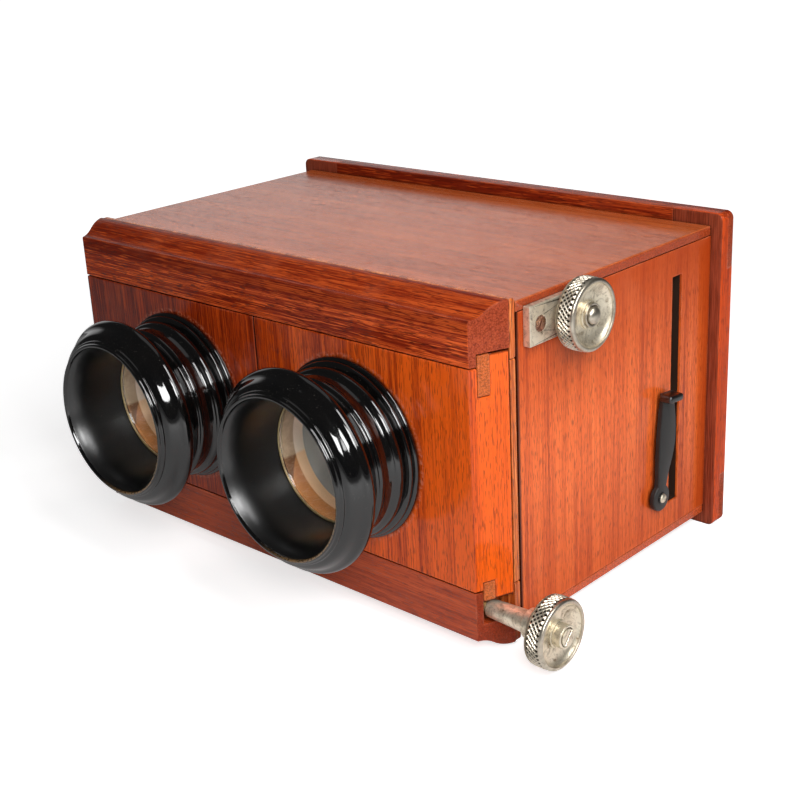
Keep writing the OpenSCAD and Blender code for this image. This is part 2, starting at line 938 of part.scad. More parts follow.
// Eyepiece profile, as radius and distance in front of the panel: outside from the base to the mouth
neck_r = base_r - 3;
band_r = base_r - 1.5;
bell_at = eyecup_len - 6.2;
function eyecup_outside() = concat(
    [[panel_bore_r - spigot_gap, -spigot_len], [panel_bore_r - spigot_gap, 0], [base_r - 0.4, 0]],
    arc(base_r - 0.6, 0.8, 0.6, -60, 60, 3),
    arc(base_r - 1.3, 2.2, 0.7, -60, 60, 3),
    arc(band_r - 1.5, 4.7, 1.5, -50, 50, 4),
    [[neck_r, 7], [neck_r - 0.3, 8.4], [neck_r, 9.6]],
    arc(neck_r, 10.6, 0.9, -50, 50, 3),
    [[neck_r - 0.1, 12], [neck_r + 0.4, 13], [bell_r - 2.4, bell_at - 2.2]],
    arc(bell_r - 1.6, bell_at - 0.4, 1.6, -40, 50, 4),
    [[bell_r - 1.4, bell_at + 2.4], [bell_r - 2.9, bell_at + 4.2]],
    arc(mouth_r + 1.3, eyecup_len - 1.5, 0.5, 0, 80, 3),
    arc(mouth_r + 0.55, eyecup_len - 0.5, 0.5, 10, 120, 3)
);
// Inside from the mouth back to the spigot
function eyecup_inside() = [
    [mouth_r, eyecup_len - 0.5],
    [mouth_r - 0.5, eyecup_len - 3],
    [mouth_r - 1.5, eyecup_len - 7],
    [lens_r + 1, cell_top + 3],
    [lens_r, cell_top],
    [lens_r, cell_foot],
    [shoulder_r, cell_foot],
    [shoulder_r, -spigot_len]
];

module eyecup(s) {
    color(black_lacquer)
        turned_front(s * eye_spacing / 2, face_y, mid_z)
            polygon(concat(eyecup_outside(), eyecup_inside()));
}

// Radius of the ball whose cap has the lens's bulge over a given radius
function ball_r(cap_r) = (cap_r * cap_r + lens_bulge * lens_bulge) / 2 / lens_bulge;

// A lens with two bulging faces and a flat seat round its back, drawn as half its section
module lens(s) {
    back_r = ball_r(shoulder_r);
    front_r = ball_r(lens_r);
    color(clear_glass)
        turned_front(s * eye_spacing / 2, face_y, mid_z)
            translate([0, cell_foot])
                polygon(concat(
                    arc(0, back_r - lens_bulge, back_r, -90, asin(shoulder_r / back_r) - 90, 6),
                    [[lens_r, 0]],
                    arc(0, lens_edge_t + lens_bulge - front_r, front_r, 90 - asin(lens_r / front_r), 90, 6)
                ));
}

module lens_ring(s) {
    ring_foot = cell_foot + lens_edge_t + 0.3;
    color(brass)
        turned_front(s * eye_spacing / 2, face_y, mid_z)
            translate([shoulder_r + 0.2, ring_foot])
                square([lens_r - shoulder_r - 0.2, lens_ring_t]);
}

module lens_panel_left() { lens_panel(-1); }
module lens_panel_right() { lens_panel(1); }
module panel_keys_left() { panel_keys(-1); }
module panel_keys_right() { panel_keys(1); }
module nut_left() { nut(-1); }
module nut_right() { nut(1); }
module eyecup_left() { eyecup(-1); }
module eyecup_right() { eyecup(1); }
module lens_left() { lens(-1); }
module lens_right() { lens(1); }
module lens_ring_left() { lens_ring(-1); }
module lens_ring_right() { lens_ring(1); }

case_top();
case_bottom();
case_side_left();
case_side_right();
rear_frame_top_rail();
rear_frame_bottom_rail();
rear_frame_left_stile();
rear_frame_right_stile();
ground_glass();
glass_bead_top();
glass_bead_bottom();
glass_bead_left();
glass_bead_right();
slide_guide_top();
slide_guide_bottom();
septum();
focus_bearing_plate();
plate_screws();
focus_bush();
lever_washer();
lever_pivot_screw();
slot_lever();
focus_shaft();
focus_knob();
focus_knob_nut();
pinion_left();
pinion_right();
cornice();
foot_rail();
front_frame_top();
front_frame_bottom();
front_frame_left();
front_frame_right();
front_frame_muntin();
drawer_side_left();
drawer_side_right();
rack_left();
rack_right();
spindle_bearing_left();
spindle_bearing_right();
spindle();
spindle_collar();
spindle_knob();
spindle_knob_screw();
lens_panel_left();
panel_keys_left();
nut_left();
eyecup_left();
lens_left();
lens_ring_left();
lens_panel_right();
panel_keys_right();
nut_right();
eyecup_right();
lens_right();
lens_ring_right();
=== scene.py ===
"""Looks of a box stereoscope: worn wood, nickel and black turned pieces on its CAD frame."""

import math

import bmesh
import bpy
from mathutils import Matrix, Vector

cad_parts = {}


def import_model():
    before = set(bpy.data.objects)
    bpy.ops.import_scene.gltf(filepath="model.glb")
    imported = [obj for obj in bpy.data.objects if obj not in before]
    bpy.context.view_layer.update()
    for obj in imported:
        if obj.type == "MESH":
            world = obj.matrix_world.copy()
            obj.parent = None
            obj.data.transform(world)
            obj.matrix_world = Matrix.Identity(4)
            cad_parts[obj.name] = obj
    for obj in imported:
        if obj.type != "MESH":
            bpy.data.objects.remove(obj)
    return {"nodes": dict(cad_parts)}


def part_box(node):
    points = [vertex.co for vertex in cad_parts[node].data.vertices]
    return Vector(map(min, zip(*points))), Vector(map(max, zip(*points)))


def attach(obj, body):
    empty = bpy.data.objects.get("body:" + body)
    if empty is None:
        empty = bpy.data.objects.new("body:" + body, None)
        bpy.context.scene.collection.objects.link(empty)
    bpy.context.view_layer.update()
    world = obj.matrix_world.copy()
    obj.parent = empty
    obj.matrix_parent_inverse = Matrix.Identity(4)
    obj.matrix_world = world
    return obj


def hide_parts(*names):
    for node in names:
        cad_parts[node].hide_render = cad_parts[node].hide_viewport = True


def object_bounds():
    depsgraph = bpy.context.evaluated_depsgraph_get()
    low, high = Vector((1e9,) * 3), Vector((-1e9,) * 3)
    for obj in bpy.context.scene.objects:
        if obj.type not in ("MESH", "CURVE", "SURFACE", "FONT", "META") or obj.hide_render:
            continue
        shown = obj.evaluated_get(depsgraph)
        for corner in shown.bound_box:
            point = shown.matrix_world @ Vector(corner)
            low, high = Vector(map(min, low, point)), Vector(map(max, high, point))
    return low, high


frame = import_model()
cad_low, cad_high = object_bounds()
cad = frame["nodes"]

MM = 0.001
SIDES = (("left", -1), ("right", 1))
AXIS_INDEX = {"X": 0, "Y": 1, "Z": 2}


# Places taken from the frame, in millimetres

def box_mm(node):
    """The lowest and the highest corner of a CAD node."""
    low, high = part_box(node)
    return Vector(low) / MM, Vector(high) / MM


def centre_mm(node):
    """The middle of a CAD node's box."""
    low, high = box_mm(node)
    return (low + high) / 2


right_eye = centre_mm("lens_right")
EYE_X = right_eye.x
EYE_Z = right_eye.z
PANEL_FACE_Y = box_mm("lens_panel_right")[0].y


# Eyepiece sizes in millimetres: radii, and distances from the panel's face

SPIGOT_R = 18.0
SPIGOT_LEN = 1.2
BASE_R = 23.3
BAND_R = 21.8
NECK_R = 20.3
BELL_R = 25.6
BELL_AT = 18.8
BELL_ROUND = 1.75
MOUTH_R = 19.8
CUP_LEN = 25.0
CELL_R = 16.9
CELL_FOOT = 6.9
CELL_TOP = 9.8
SHOULDER_R = 16.1


# Worn and lined places round the eye axes, in millimetres

LIP_R = MOUTH_R + 0.35
LIP_Y = PANEL_FACE_Y - CUP_LEN + 0.5
HALO_R = BASE_R + 0.2
LINED_R = SPIGOT_R + 0.4
PALE_BAND_Y = PANEL_FACE_Y - 2.2


# Shader helpers

def add(tree, kind, settings=(), **inputs):
    """A shader node. An input is a value or another node's output; an underscore stands for a space."""
    node = tree.nodes.new(kind)
    for key, value in dict(settings).items():
        setattr(node, key, value)
    for key, value in inputs.items():
        socket = node.inputs[int(key[1:])] if key[1:].isdigit() else node.inputs[key.replace("_", " ")]
        if isinstance(value, bpy.types.NodeSocket):
            tree.links.new(value, socket)
        else:
            socket.default_value = value
    return node


def maths(tree, operation, a, b=0.0):
    """The result of one operation on one or two values."""
    return add(tree, "ShaderNodeMath", {"operation": operation}, i0=a, i1=b).outputs[0]


def weighted(tree, *terms):
    """The sum of (value, weight) pairs."""
    total = 0.0
    for value, weight in terms:
        total = maths(tree, "ADD", total, maths(tree, "MULTIPLY", value, weight))
    return total


def ease(tree, value, low, high, to_low=0.0, to_high=1.0):
    """The value taken from low to high onto another range, clamped."""
    return add(tree, "ShaderNodeMapRange", Value=value, From_Min=low, From_Max=high,
               To_Min=to_low, To_Max=to_high).outputs[0]


def blend(tree, share, a, b):
    """Colour b laid over colour a by a share."""
    node = tree.nodes.new("ShaderNodeMix")
    node.data_type = "RGBA"
    for index, value in ((0, share), (6, a), (7, b)):
        if isinstance(value, bpy.types.NodeSocket):
            tree.links.new(value, node.inputs[index])
        elif index:
            node.inputs[index].default_value = (*value, 1.0)
        else:
            node.inputs[index].default_value = value
    return node.outputs[2]


def ramp(tree, value, stops):
    """A colour ramp from (place, colour) pairs."""
    node = add(tree, "ShaderNodeValToRGB", Fac=value)
    elements = node.color_ramp.elements
    while len(elements) < len(stops):
        elements.new(0.5)
    for element, (place, colour) in zip(elements, stops):
        element.position = place
        element.color = (*colour, 1.0)
    return node.outputs[0]


def scaled(colour, factor):
    """A colour made darker or lighter by a factor."""
    return tuple(factor * channel for channel in colour)


def parts(tree, vector):
    """The X, Y and Z of a vector."""
    return add(tree, "ShaderNodeSeparateXYZ", Vector=vector).outputs


def place_mm(tree):
    """A point's place on its object, in millimetres."""
    place = add(tree, "ShaderNodeTexCoord").outputs["Object"]
    return add(tree, "ShaderNodeVectorMath", {"operation": "SCALE"}, i0=place, Scale=1 / MM).outputs[0]


RANDOM_SHIFT = 400.0


def new_material(name):
    """A material, its node tree, its shader, and places in millimetres that are shifted for each object."""
    material = bpy.data.materials.new(name)
    material.use_nodes = True
    tree = material.node_tree
    shift = maths(tree, "MULTIPLY", add(tree, "ShaderNodeObjectInfo").outputs["Random"], RANDOM_SHIFT)
    own = add(tree, "ShaderNodeVectorMath", {"operation": "ADD"}, i0=place_mm(tree), i1=shift).outputs[0]
    return material, tree, tree.nodes["Principled BSDF"], own


def noise(tree, place, sizes, detail=2.0, rough=0.5, twist=0.0):
    """Noise whose features are about as large as sizes, in millimetres along X, Y and Z."""
    scale = tuple(1.0 / size for size in sizes)
    stretched = add(tree, "ShaderNodeVectorMath", {"operation": "MULTIPLY"}, i0=place, i1=scale).outputs[0]
    return add(tree, "ShaderNodeTexNoise", Vector=stretched, Scale=1.0, Detail=detail, Roughness=rough,
               Distortion=twist).outputs["Fac"]


def even(size):
    """Feature sizes that are the same all ways."""
    return (size,) * 3


def along(axis, size, scale=1.0, length=1.0):
    """Feature sizes for a grain along one axis, from a size across and a size along it."""
    sizes = [size[0] * scale] * 3
    sizes[AXIS_INDEX[axis]] = size[1] * length
    return sizes


def edges(tree, radius):
    """How far a point lies on a convex or concave edge, from 0 to 1."""
    rounded = add(tree, "ShaderNodeBevel", {"samples": 6}, Radius=radius * MM).outputs[0]
    flat = add(tree, "ShaderNodeNewGeometry").outputs["Normal"]
    facing = add(tree, "ShaderNodeVectorMath", {"operation": "DOT_PRODUCT"}, i0=rounded, i1=flat)
    return ease(tree, facing.outputs["Value"], 0.995, 0.90)


def crevices(tree, reach):
    """How far a point lies in a corner or a joint, from 0 to 1."""
    open_share = add(tree, "ShaderNodeAmbientOcclusion", {"samples": 6}, Distance=reach * MM).outputs["AO"]
    return ease(tree, open_share, 0.75, 0.15)


def inside_box(tree, low, high):
    """1 inside a box, given in millimetres, and 0 outside it."""
    place = parts(tree, place_mm(tree))
    inside = 1.0
    for axis in range(3):
        above = maths(tree, "GREATER_THAN", place[axis], low[axis])
        below = maths(tree, "LESS_THAN", place[axis], high[axis])
        inside = maths(tree, "MULTIPLY", inside, maths(tree, "MULTIPLY", above, below))
    return inside


def eye_aside(tree):
    """Sideways distance from the nearer eye axis, in millimetres, positive towards +X."""
    across = parts(tree, place_mm(tree))[0]
    axis = maths(tree, "MULTIPLY", maths(tree, "SIGN", across), EYE_X)
    return maths(tree, "SUBTRACT", across, axis)


def eye_reach(tree):
    """Distance from the nearer eye axis, in millimetres."""
    aside = eye_aside(tree)
    raised = maths(tree, "SUBTRACT", parts(tree, place_mm(tree))[2], EYE_Z)
    return maths(tree, "SQRT", weighted(tree, (aside, aside), (raised, raised)))


def bump(tree, shader, height, depth, strength):
    """Relief on a shader, with its depth in millimetres."""
    node = add(tree, "ShaderNodeBump", Height=height, Distance=depth * MM, Strength=strength)
    tree.links.new(node.outputs[0], shader.inputs["Normal"])


# Wood, with the sizes of its features across and along the grain in millimetres

RIBBON = (8.0, 130.0)
STREAK = (1.5, 40.0)
FIBRE = (0.42, 9.0)
PORE = (0.28, 2.8)
FLECK = (0.40, 6.0)
PATCH = 23.0
EDGE_REACH = 0.8
CREVICE_REACH = 1.8
TONE_SPREAD = 0.14
DARK_PORE = (0.060, 0.010, 0.005)
BARE_WOOD = (0.60, 0.40, 0.30)
SLOT_SHADE = (0.040, 0.022, 0.015)
GREY_LINING = (0.38, 0.405, 0.405)


def wood(name, axis, tones, roughness, gloss, contrast, pore_share, pore=DARK_PORE, fleck_share=0.3,
         scale=1.0, length=1.0, wave=0.2, halo=0.0, slot_shade_box=None, face_tint=None, painted_light_slope=0.0, painted_shades=(),
         lines=()):
    """Lacquered hardwood, grained along one axis in a dark, a middle and a light tone.

    The streaks get stronger with contrast, finer with a smaller scale and shorter with a smaller length.
    halo is a rubbed ring round the eye axes, whose bores are then lined grey. The slot box is painted shade,
    dark inside. face_tint gives an axis and the colour of the faces across it. The slope along X is painted
    light: a shift to the light tone for each millimetre along X. A painted shade gives an axis, the places
    where it begins and is full, and its share. A line darkens a joint with grime, and a gap with painted
    shadow: an axis and the places where it begins and is darkest, to both sides in X.
    """
    material, tree, shader, own = new_material(name)
    place = parts(tree, place_mm(tree))
    dark, middle, light = tones
    grime_and_shade = scaled(dark, 0.06)
    ribbon = noise(tree, own, along(axis, RIBBON, scale, length), 3.0, 0.55, 0.6)
    streak = noise(tree, own, along(axis, STREAK, scale, length), 3.0, 0.6, wave)
    fine = noise(tree, own, along(axis, FIBRE, scale, length), 2.0, 0.6)
    pores = ease(tree, noise(tree, own, along(axis, PORE), 1.0), 0.57, 0.65)
    flecks = ease(tree, noise(tree, own, along(axis, FLECK, length=length), 1.0), 0.56, 0.66)
    patches = noise(tree, own, even(PATCH), 3.0, 0.6)
    # Painted light: the tone rises along X, lighter towards the +X end.
    tone = weighted(tree, (ribbon, 0.36), (streak, 0.34), (fine, 0.30), (place[0], painted_light_slope))
    spread = TONE_SPREAD / contrast
    colour = ramp(tree, tone, ((0.5 - spread, dark), (0.5, middle), (0.5 + spread, light)))
    colour = blend(tree, maths(tree, "MULTIPLY", flecks, fleck_share), colour, light)
    colour = blend(tree, maths(tree, "MULTIPLY", pores, pore_share), colour, pore)
    shine = gloss
    # Painted shade: darker towards the dark tone along an axis, with the gloss dulled there.
    for shade_axis, begins, full, share in painted_shades:
        shaded = ease(tree, place[AXIS_INDEX[shade_axis]], begins, full)
        colour = blend(tree, maths(tree, "MULTIPLY", shaded, share), colour, dark)
        shine = maths(tree, "MULTIPLY", shine, ease(tree, shaded, 0.0, 1.0, 1.0, 0.3))
    if face_tint:
        tint_axis, tint = face_tint
        normal = add(tree, "ShaderNodeNewGeometry").outputs["Normal"]
        across = maths(tree, "ABSOLUTE", parts(tree, normal)[AXIS_INDEX[tint_axis]])
        speck = noise(tree, own, even(0.45), 3.0, 0.7) if tint_axis == axis else fine
        tinted = ramp(tree, speck, ((0.38, scaled(tint, 0.55)), (0.62, scaled(tint, 1.45))))
        colour = blend(tree, ease(tree, across, 0.6, 0.9, 0.0, 0.85), colour, tinted)
    worn = maths(tree, "MULTIPLY", ease(tree, patches, 0.55, 0.75), 0.10)
    if halo:
        from_ring = maths(tree, "ABSOLUTE", maths(tree, "SUBTRACT", eye_reach(tree), HALO_R))
        rubbed = ease(tree, noise(tree, own, even(1.1), 5.0, 0.7), 0.46, 0.62)
        ring = maths(tree, "MULTIPLY", ease(tree, from_ring, 1.1, 0.2), rubbed)
        worn = weighted(tree, (worn, 1.0), (ring, halo))
    chips = ease(tree, noise(tree, own, even(5.0), 4.0), 0.38, 0.65)
    edge = maths(tree, "MULTIPLY", edges(tree, EDGE_REACH), chips)
    pale = tuple(0.6 * c + 0.4 * b for c, b in zip(light, BARE_WOOD))
    colour = blend(tree, weighted(tree, (worn, 1.0), (edge, 0.30)), colour, pale)
    # Painted shade: corners and joints darkened nearly to black, found by ambient occlusion.
    colour = blend(tree, maths(tree, "MULTIPLY", crevices(tree, CREVICE_REACH), 0.85), colour, grime_and_shade)
    for line_axis, begins, darkest in lines:
        across = place[AXIS_INDEX[line_axis]]
        if line_axis == "X":
            across = maths(tree, "ABSOLUTE", across)
        colour = blend(tree, ease(tree, across, begins, darkest, 0.0, 0.9), colour, grime_and_shade)
    # Painted shade: the walls inside the slot's box are darkened.
    if slot_shade_box:
        colour = blend(tree, inside_box(tree, *slot_shade_box), colour, SLOT_SHADE)
    if halo:
        colour = blend(tree, ease(tree, eye_reach(tree), LINED_R + 0.3, LINED_R), colour, GREY_LINING)
    tree.links.new(colour, shader.inputs["Base Color"])
    shader.inputs["Specular IOR Level"].default_value = gloss
    if painted_shades:
        tree.links.new(shine, shader.inputs["Specular IOR Level"])
    dull = weighted(tree, (pores, 0.12), (patches, 0.10), (edge, 0.15))
    tree.links.new(maths(tree, "ADD", dull, roughness - 0.05), shader.inputs["Roughness"])
    bump(tree, shader, weighted(tree, (fine, 0.5), (pores, -1.0)), 0.05, 0.3)
    return material


# Metal, hard rubber, glass and linings

SCRATCH = (0.12, 3.0)
BRUSHING = (0.15, 4.0)
KNURL_GRIME_AND_SHADE = (0.016, 0.010, 0.006)
LIP_BROWN = (0.34, 0.19, 0.075)
LIP_WEAR = 0.8
DUST = (0.22, 0.20, 0.17)
PALE_LINING = (0.96, 0.82, 0.68)
WARM_LINING = (1.0, 0.68, 0.40)


def metal(name, bright, stain, roughness, stains, scratch_axis="X", metallic=1.0):
    """Worn metal: bright where rubbed, stained in patches and in its corners, with grime and painted shade
    in its knurling.
    """
    material, tree, shader, own = new_material(name)
    cloud = noise(tree, own, even(3.2), 5.0, 0.65, 0.8)
    fine = noise(tree, own, along(scratch_axis, SCRATCH), 3.0, 0.6)
    spots = ease(tree, noise(tree, own, even(0.8), 4.0, 0.6), 0.56, 0.70)
    dirt = weighted(tree, (ease(tree, cloud, 0.48, 0.72), 1.0), (spots, 0.6))
    dirt = weighted(tree, (dirt, stains), (crevices(tree, 1.2), 0.8))
    dirt = maths(tree, "MINIMUM", dirt, 0.94)
    worn = maths(tree, "MULTIPLY", edges(tree, 0.35), 0.6)
    colour = blend(tree, dirt, bright, stain)
    colour = blend(tree, worn, colour, tuple(min(1.0, c) for c in scaled(bright, 1.25)))
    # Knurl valleys: grime and painted shade, near-black.
    valleys = add(tree, "ShaderNodeAttribute", {"attribute_name": "valley"}).outputs["Fac"]
    colour = blend(tree, ease(tree, valleys, 0.2, 0.6, 0.0, 0.97), colour, KNURL_GRIME_AND_SHADE)
    tree.links.new(colour, shader.inputs["Base Color"])
    shader.inputs["Metallic"].default_value = metallic
    dull = weighted(tree, (dirt, 0.3), (fine, 0.12))
    tree.links.new(maths(tree, "ADD", dull, roughness), shader.inputs["Roughness"])
    bump(tree, shader, weighted(tree, (fine, 0.5), (dirt, 1.0)), 0.02, 0.35)
    return material


def ebonite(name, roughness, gloss):
    """Polished black hard rubber with a brown worn lip and a little dust."""
    material, tree, shader, own = new_material(name)
    place = parts(tree, place_mm(tree))
    cloud = noise(tree, own, even(6.0), 4.0, 0.6)
    fine = noise(tree, own, even(0.5), 3.0, 0.6)
    dust = ease(tree, noise(tree, own, even(0.35), 1.0), 0.72, 0.80)
    from_lip = maths(tree, "ABSOLUTE", maths(tree, "SUBTRACT", eye_reach(tree), LIP_R))
    lip = maths(tree, "MULTIPLY", ease(tree, from_lip, 0.40, 0.15), ease(tree, place[1], LIP_Y + 0.3, LIP_Y))
    low = maths(tree, "MULTIPLY", ease(tree, place[2], EYE_Z + 2.0, EYE_Z - 8.0),
                ease(tree, eye_aside(tree), -8.0, 6.0))
    lip = maths(tree, "MULTIPLY", maths(tree, "MULTIPLY", lip, low), ease(tree, fine, 0.38, 0.52))
    colour = ramp(tree, cloud, ((0.3, (0.0012, 0.0012, 0.0015)), (0.7, (0.0032, 0.0028, 0.0026))))
    colour = blend(tree, maths(tree, "MULTIPLY", lip, LIP_WEAR), colour, LIP_BROWN)
    colour = blend(tree, maths(tree, "MULTIPLY", dust, 0.35), colour, DUST)
    tree.links.new(colour, shader.inputs["Base Color"])
    shader.inputs["Specular IOR Level"].default_value = gloss
    dull = weighted(tree, (fine, 0.05), (lip, 0.3))
    tree.links.new(maths(tree, "ADD", dull, roughness), shader.inputs["Roughness"])
    bump(tree, shader, fine, 0.01, 0.25)
    return material


def dark_steel(name):
    """Dark grey satin steel, rubbed lighter along its edges."""
    material, tree, shader, own = new_material(name)
    cloud = noise(tree, own, even(4.0), 5.0, 0.65)
    fine = noise(tree, own, along("Z", BRUSHING), 3.0, 0.6)
    edge = maths(tree, "MULTIPLY", edges(tree, 0.3), ease(tree, cloud, 0.45, 0.6, 0.0, 0.7))
    colour = ramp(tree, cloud, ((0.3, (0.013, 0.012, 0.012)), (0.7, (0.022, 0.021, 0.020))))
    colour = blend(tree, edge, colour, (0.10, 0.09, 0.085))
    tree.links.new(colour, shader.inputs["Base Color"])
    shader.inputs["Metallic"].default_value = 0.2
    tree.links.new(ease(tree, cloud, 0.2, 0.8, 0.34, 0.46), shader.inputs["Roughness"])
    bump(tree, shader, fine, 0.02, 0.3)
    return material


def glass(name, tint, roughness, dulling, shadow_tint=None):
    """Glass that is duller in clouds. With a shadow tint, light passes straight through it, tinted."""
    material, tree, shader, own = new_material(name)
    cloud = noise(tree, own, even(5.0), 4.0, 0.6)
    colour = ramp(tree, cloud, ((0.3, scaled(tint, 0.94)), (0.7, tint)))
    tree.links.new(colour, shader.inputs["Base Color"])
    tree.links.new(ease(tree, cloud, 0.3, 0.7, roughness, roughness + dulling), shader.inputs["Roughness"])
    shader.inputs["Transmission Weight"].default_value = 1.0
    shader.inputs["IOR"].default_value = 1.5
    bump(tree, shader, cloud, 0.002, 0.05)
    if shadow_tint:
        shadow = add(tree, "ShaderNodeLightPath").outputs["Is Shadow Ray"]
        passing = add(tree, "ShaderNodeBsdfTransparent", Color=(*shadow_tint, 1.0)).outputs[0]
        either = add(tree, "ShaderNodeMixShader", i0=shadow, i1=shader.outputs[0], i2=passing).outputs[0]
        tree.links.new(either, tree.nodes["Material Output"].inputs["Surface"])
    return material


def bore_wood(name):
    """Bare wood behind a lens with painted light and shade: greyer above, a dark shadow wedge, lit golden
    below, a pale band at the panel.
    """
    material, tree, shader, own = new_material(name)
    place = parts(tree, place_mm(tree))
    fibres = noise(tree, own, (0.6, 3.0, 0.6), 4.0, 0.7, 1.0)
    cloud = noise(tree, own, even(4.0), 3.0, 0.6)
    # Painted light and shade: a shaded greyer wall above, a dark wedge of painted shadow, lit gold below.
    low = ease(tree, place[2], EYE_Z - 4.0, EYE_Z - 4.6)
    from_band = maths(tree, "SUBTRACT", place[1], PALE_BAND_Y)
    below_shadow_wedge = ease(tree, maths(tree, "SUBTRACT", place[2], from_band), EYE_Z - 4.4, EYE_Z - 5.0)
    shaded_wall = ramp(tree, cloud, ((0.3, (0.44, 0.31, 0.20)), (0.7, (0.60, 0.44, 0.29))))
    lit_golden = ramp(tree, cloud, ((0.3, (0.50, 0.18, 0.045)), (0.7, (0.66, 0.26, 0.075))))
    colour = blend(tree, low, shaded_wall, (0.20, 0.075, 0.025))
    colour = blend(tree, below_shadow_wedge, colour, lit_golden)
    colour = blend(tree, ease(tree, fibres, 0.52, 0.72, 0.0, 0.45), colour, (0.84, 0.62, 0.40))
    colour = blend(tree, ease(tree, fibres, 0.42, 0.30, 0.0, 0.45), colour, (0.16, 0.085, 0.03))
    # The pale band is warmer below, with the painted light there.
    lining = ramp(tree, low, ((0.0, PALE_LINING), (1.0, WARM_LINING)))
    colour = blend(tree, ease(tree, from_band, -0.2, 0.2), colour, lining)
    tree.links.new(colour, shader.inputs["Base Color"])
    tree.links.new(ease(tree, fibres, 0.2, 0.8, 0.6, 0.8), shader.inputs["Roughness"])
    bump(tree, shader, fibres, 0.03, 0.4)
    return material


def card(name, dark, light):
    """Matt card with pale specks."""
    material, tree, shader, own = new_material(name)
    cloud = noise(tree, own, even(7.0), 4.0, 0.6)
    speck = ease(tree, noise(tree, own, even(0.7), 2.0), 0.66, 0.74, 0.0, 0.4)
    colour = blend(tree, speck, ramp(tree, cloud, ((0.3, dark), (0.7, light))), (0.85, 0.84, 0.80))
    tree.links.new(colour, shader.inputs["Base Color"])
    tree.links.new(ease(tree, cloud, 0.2, 0.8, 0.7, 0.9), shader.inputs["Roughness"])
    return material


# The materials of this object

SLOT_BOX = ((67.2, 22.7, 9.0), (74.4, 27.5, 73.2))

top_wood = wood("top_wood", "X", ((0.36, 0.068, 0.016), (0.56, 0.113, 0.028), (0.72, 0.17, 0.046)),
                roughness=0.18, gloss=0.36, contrast=1.3, pore_share=0.35, pore=(0.20, 0.045, 0.015),
                scale=0.8, wave=1.0, face_tint=("X", (0.34, 0.042, 0.010)))
# Painted shade darkens the side's top, bottom and rear edge; its line is painted shadow in the gap at its
# front edge.
side_wood = wood("side_wood", "Z", ((0.42, 0.050, 0.008), (0.83, 0.136, 0.021), (0.98, 0.200, 0.039)),
                 roughness=0.12, gloss=0.32, contrast=1.3, pore_share=0.6, pore=(0.15, 0.018, 0.006),
                 scale=0.5, length=1.6, slot_shade_box=SLOT_BOX,
                 painted_shades=(("Z", 46.0, 78.0, 0.8), ("Z", 34.0, 4.0, 0.4), ("Y", 35.0, 39.0, 0.7)),
                 lines=(("Y", -40.1, -40.7),))
# Painted light: the panels grow lighter towards +X. Their lines are dark joints.
panel_wood = wood("panel_wood", "Z", ((0.16, 0.011, 0.002), (0.44, 0.043, 0.005), (0.90, 0.125, 0.010)),
                  roughness=0.10, gloss=0.26, contrast=1.2, pore_share=0.5,
                  scale=0.45, length=2.0, halo=0.7, painted_light_slope=0.0017,
                  lines=(("X", 0.45, 0.15), ("Z", 11.5, 11.1), ("Z", 71.3, 71.8)))
# Painted light along X, and painted shade on the upward-facing cove.
rail_wood = wood("rail_wood", "X", ((0.13, 0.011, 0.004), (0.33, 0.031, 0.008), (1.0, 0.16, 0.030)),
                 roughness=0.16, gloss=0.12, contrast=1.15, pore_share=0.7, fleck_share=0.8,
                 scale=0.25, length=1.4, painted_light_slope=0.0005, painted_shades=(("Z", 75.5, 78.0, 0.45),),
                 face_tint=("X", (0.30, 0.052, 0.022)))
bottom_wood = wood("bottom_wood", "X", ((0.30, 0.060, 0.016), (0.46, 0.097, 0.026), (0.60, 0.15, 0.045)),
                   roughness=0.18, gloss=0.3, contrast=1.3, pore_share=0.35,
                   scale=0.8, face_tint=("X", (0.56, 0.080, 0.017)))
foot_wood = wood("foot_wood", "X", ((0.34, 0.040, 0.010), (0.52, 0.070, 0.016), (0.66, 0.11, 0.028)),
                 roughness=0.16, gloss=0.3, contrast=1.3, pore_share=0.4,
                 scale=0.5, face_tint=("X", (0.22, 0.026, 0.008)))
# The faces across Y are tinted darker: painted shade on the stiles' front and back.
stile_wood = wood("stile_wood", "Z", ((0.38, 0.038, 0.006), (0.60, 0.066, 0.009), (0.78, 0.10, 0.016)),
                  roughness=0.16, gloss=0.1, contrast=1.2, pore_share=0.5,
                  scale=0.6, face_tint=("Y", (0.20, 0.046, 0.024)))
# Painted shade at the strips' lower ends.
frame_wood = wood("frame_wood", "Z", ((0.26, 0.04, 0.008), (0.66, 0.13, 0.022), (0.95, 0.30, 0.08)),
                  roughness=0.2, gloss=0.3, contrast=1.6, pore_share=0.7,
                  scale=0.6, painted_shades=(("Z", 9.0, 2.0, 0.95),))
key_wood = wood("key_wood", "X", ((0.34, 0.06, 0.012), (0.58, 0.12, 0.024), (0.80, 0.21, 0.05)),
                roughness=0.22, gloss=0.3, contrast=1.2, pore_share=0.6,
                scale=0.5, face_tint=("X", (0.50, 0.11, 0.024)))
inside_wood = wood("inside_wood", "Z", ((0.36, 0.30, 0.24), (0.52, 0.45, 0.37), (0.64, 0.57, 0.48)),
                   roughness=0.55, gloss=0.3, contrast=1.0, pore_share=0.5, pore=(0.20, 0.15, 0.10))
bore = bore_wood("bore_wood")
grey_card = card("grey_card", (0.34, 0.355, 0.35), (0.42, 0.435, 0.43))
nickel = metal("worn_nickel", (0.62, 0.56, 0.46), (0.17, 0.105, 0.055), roughness=0.26, stains=0.45)
bowl_nickel = metal("bowl_nickel", (0.86, 0.78, 0.62), (0.19, 0.125, 0.06), roughness=0.28, stains=0.8,
                    metallic=0.85)
plate_nickel = metal("plate_nickel", (0.94, 0.84, 0.66), (0.17, 0.10, 0.045), roughness=0.28, stains=0.75,
                     scratch_axis="Y", metallic=0.7)
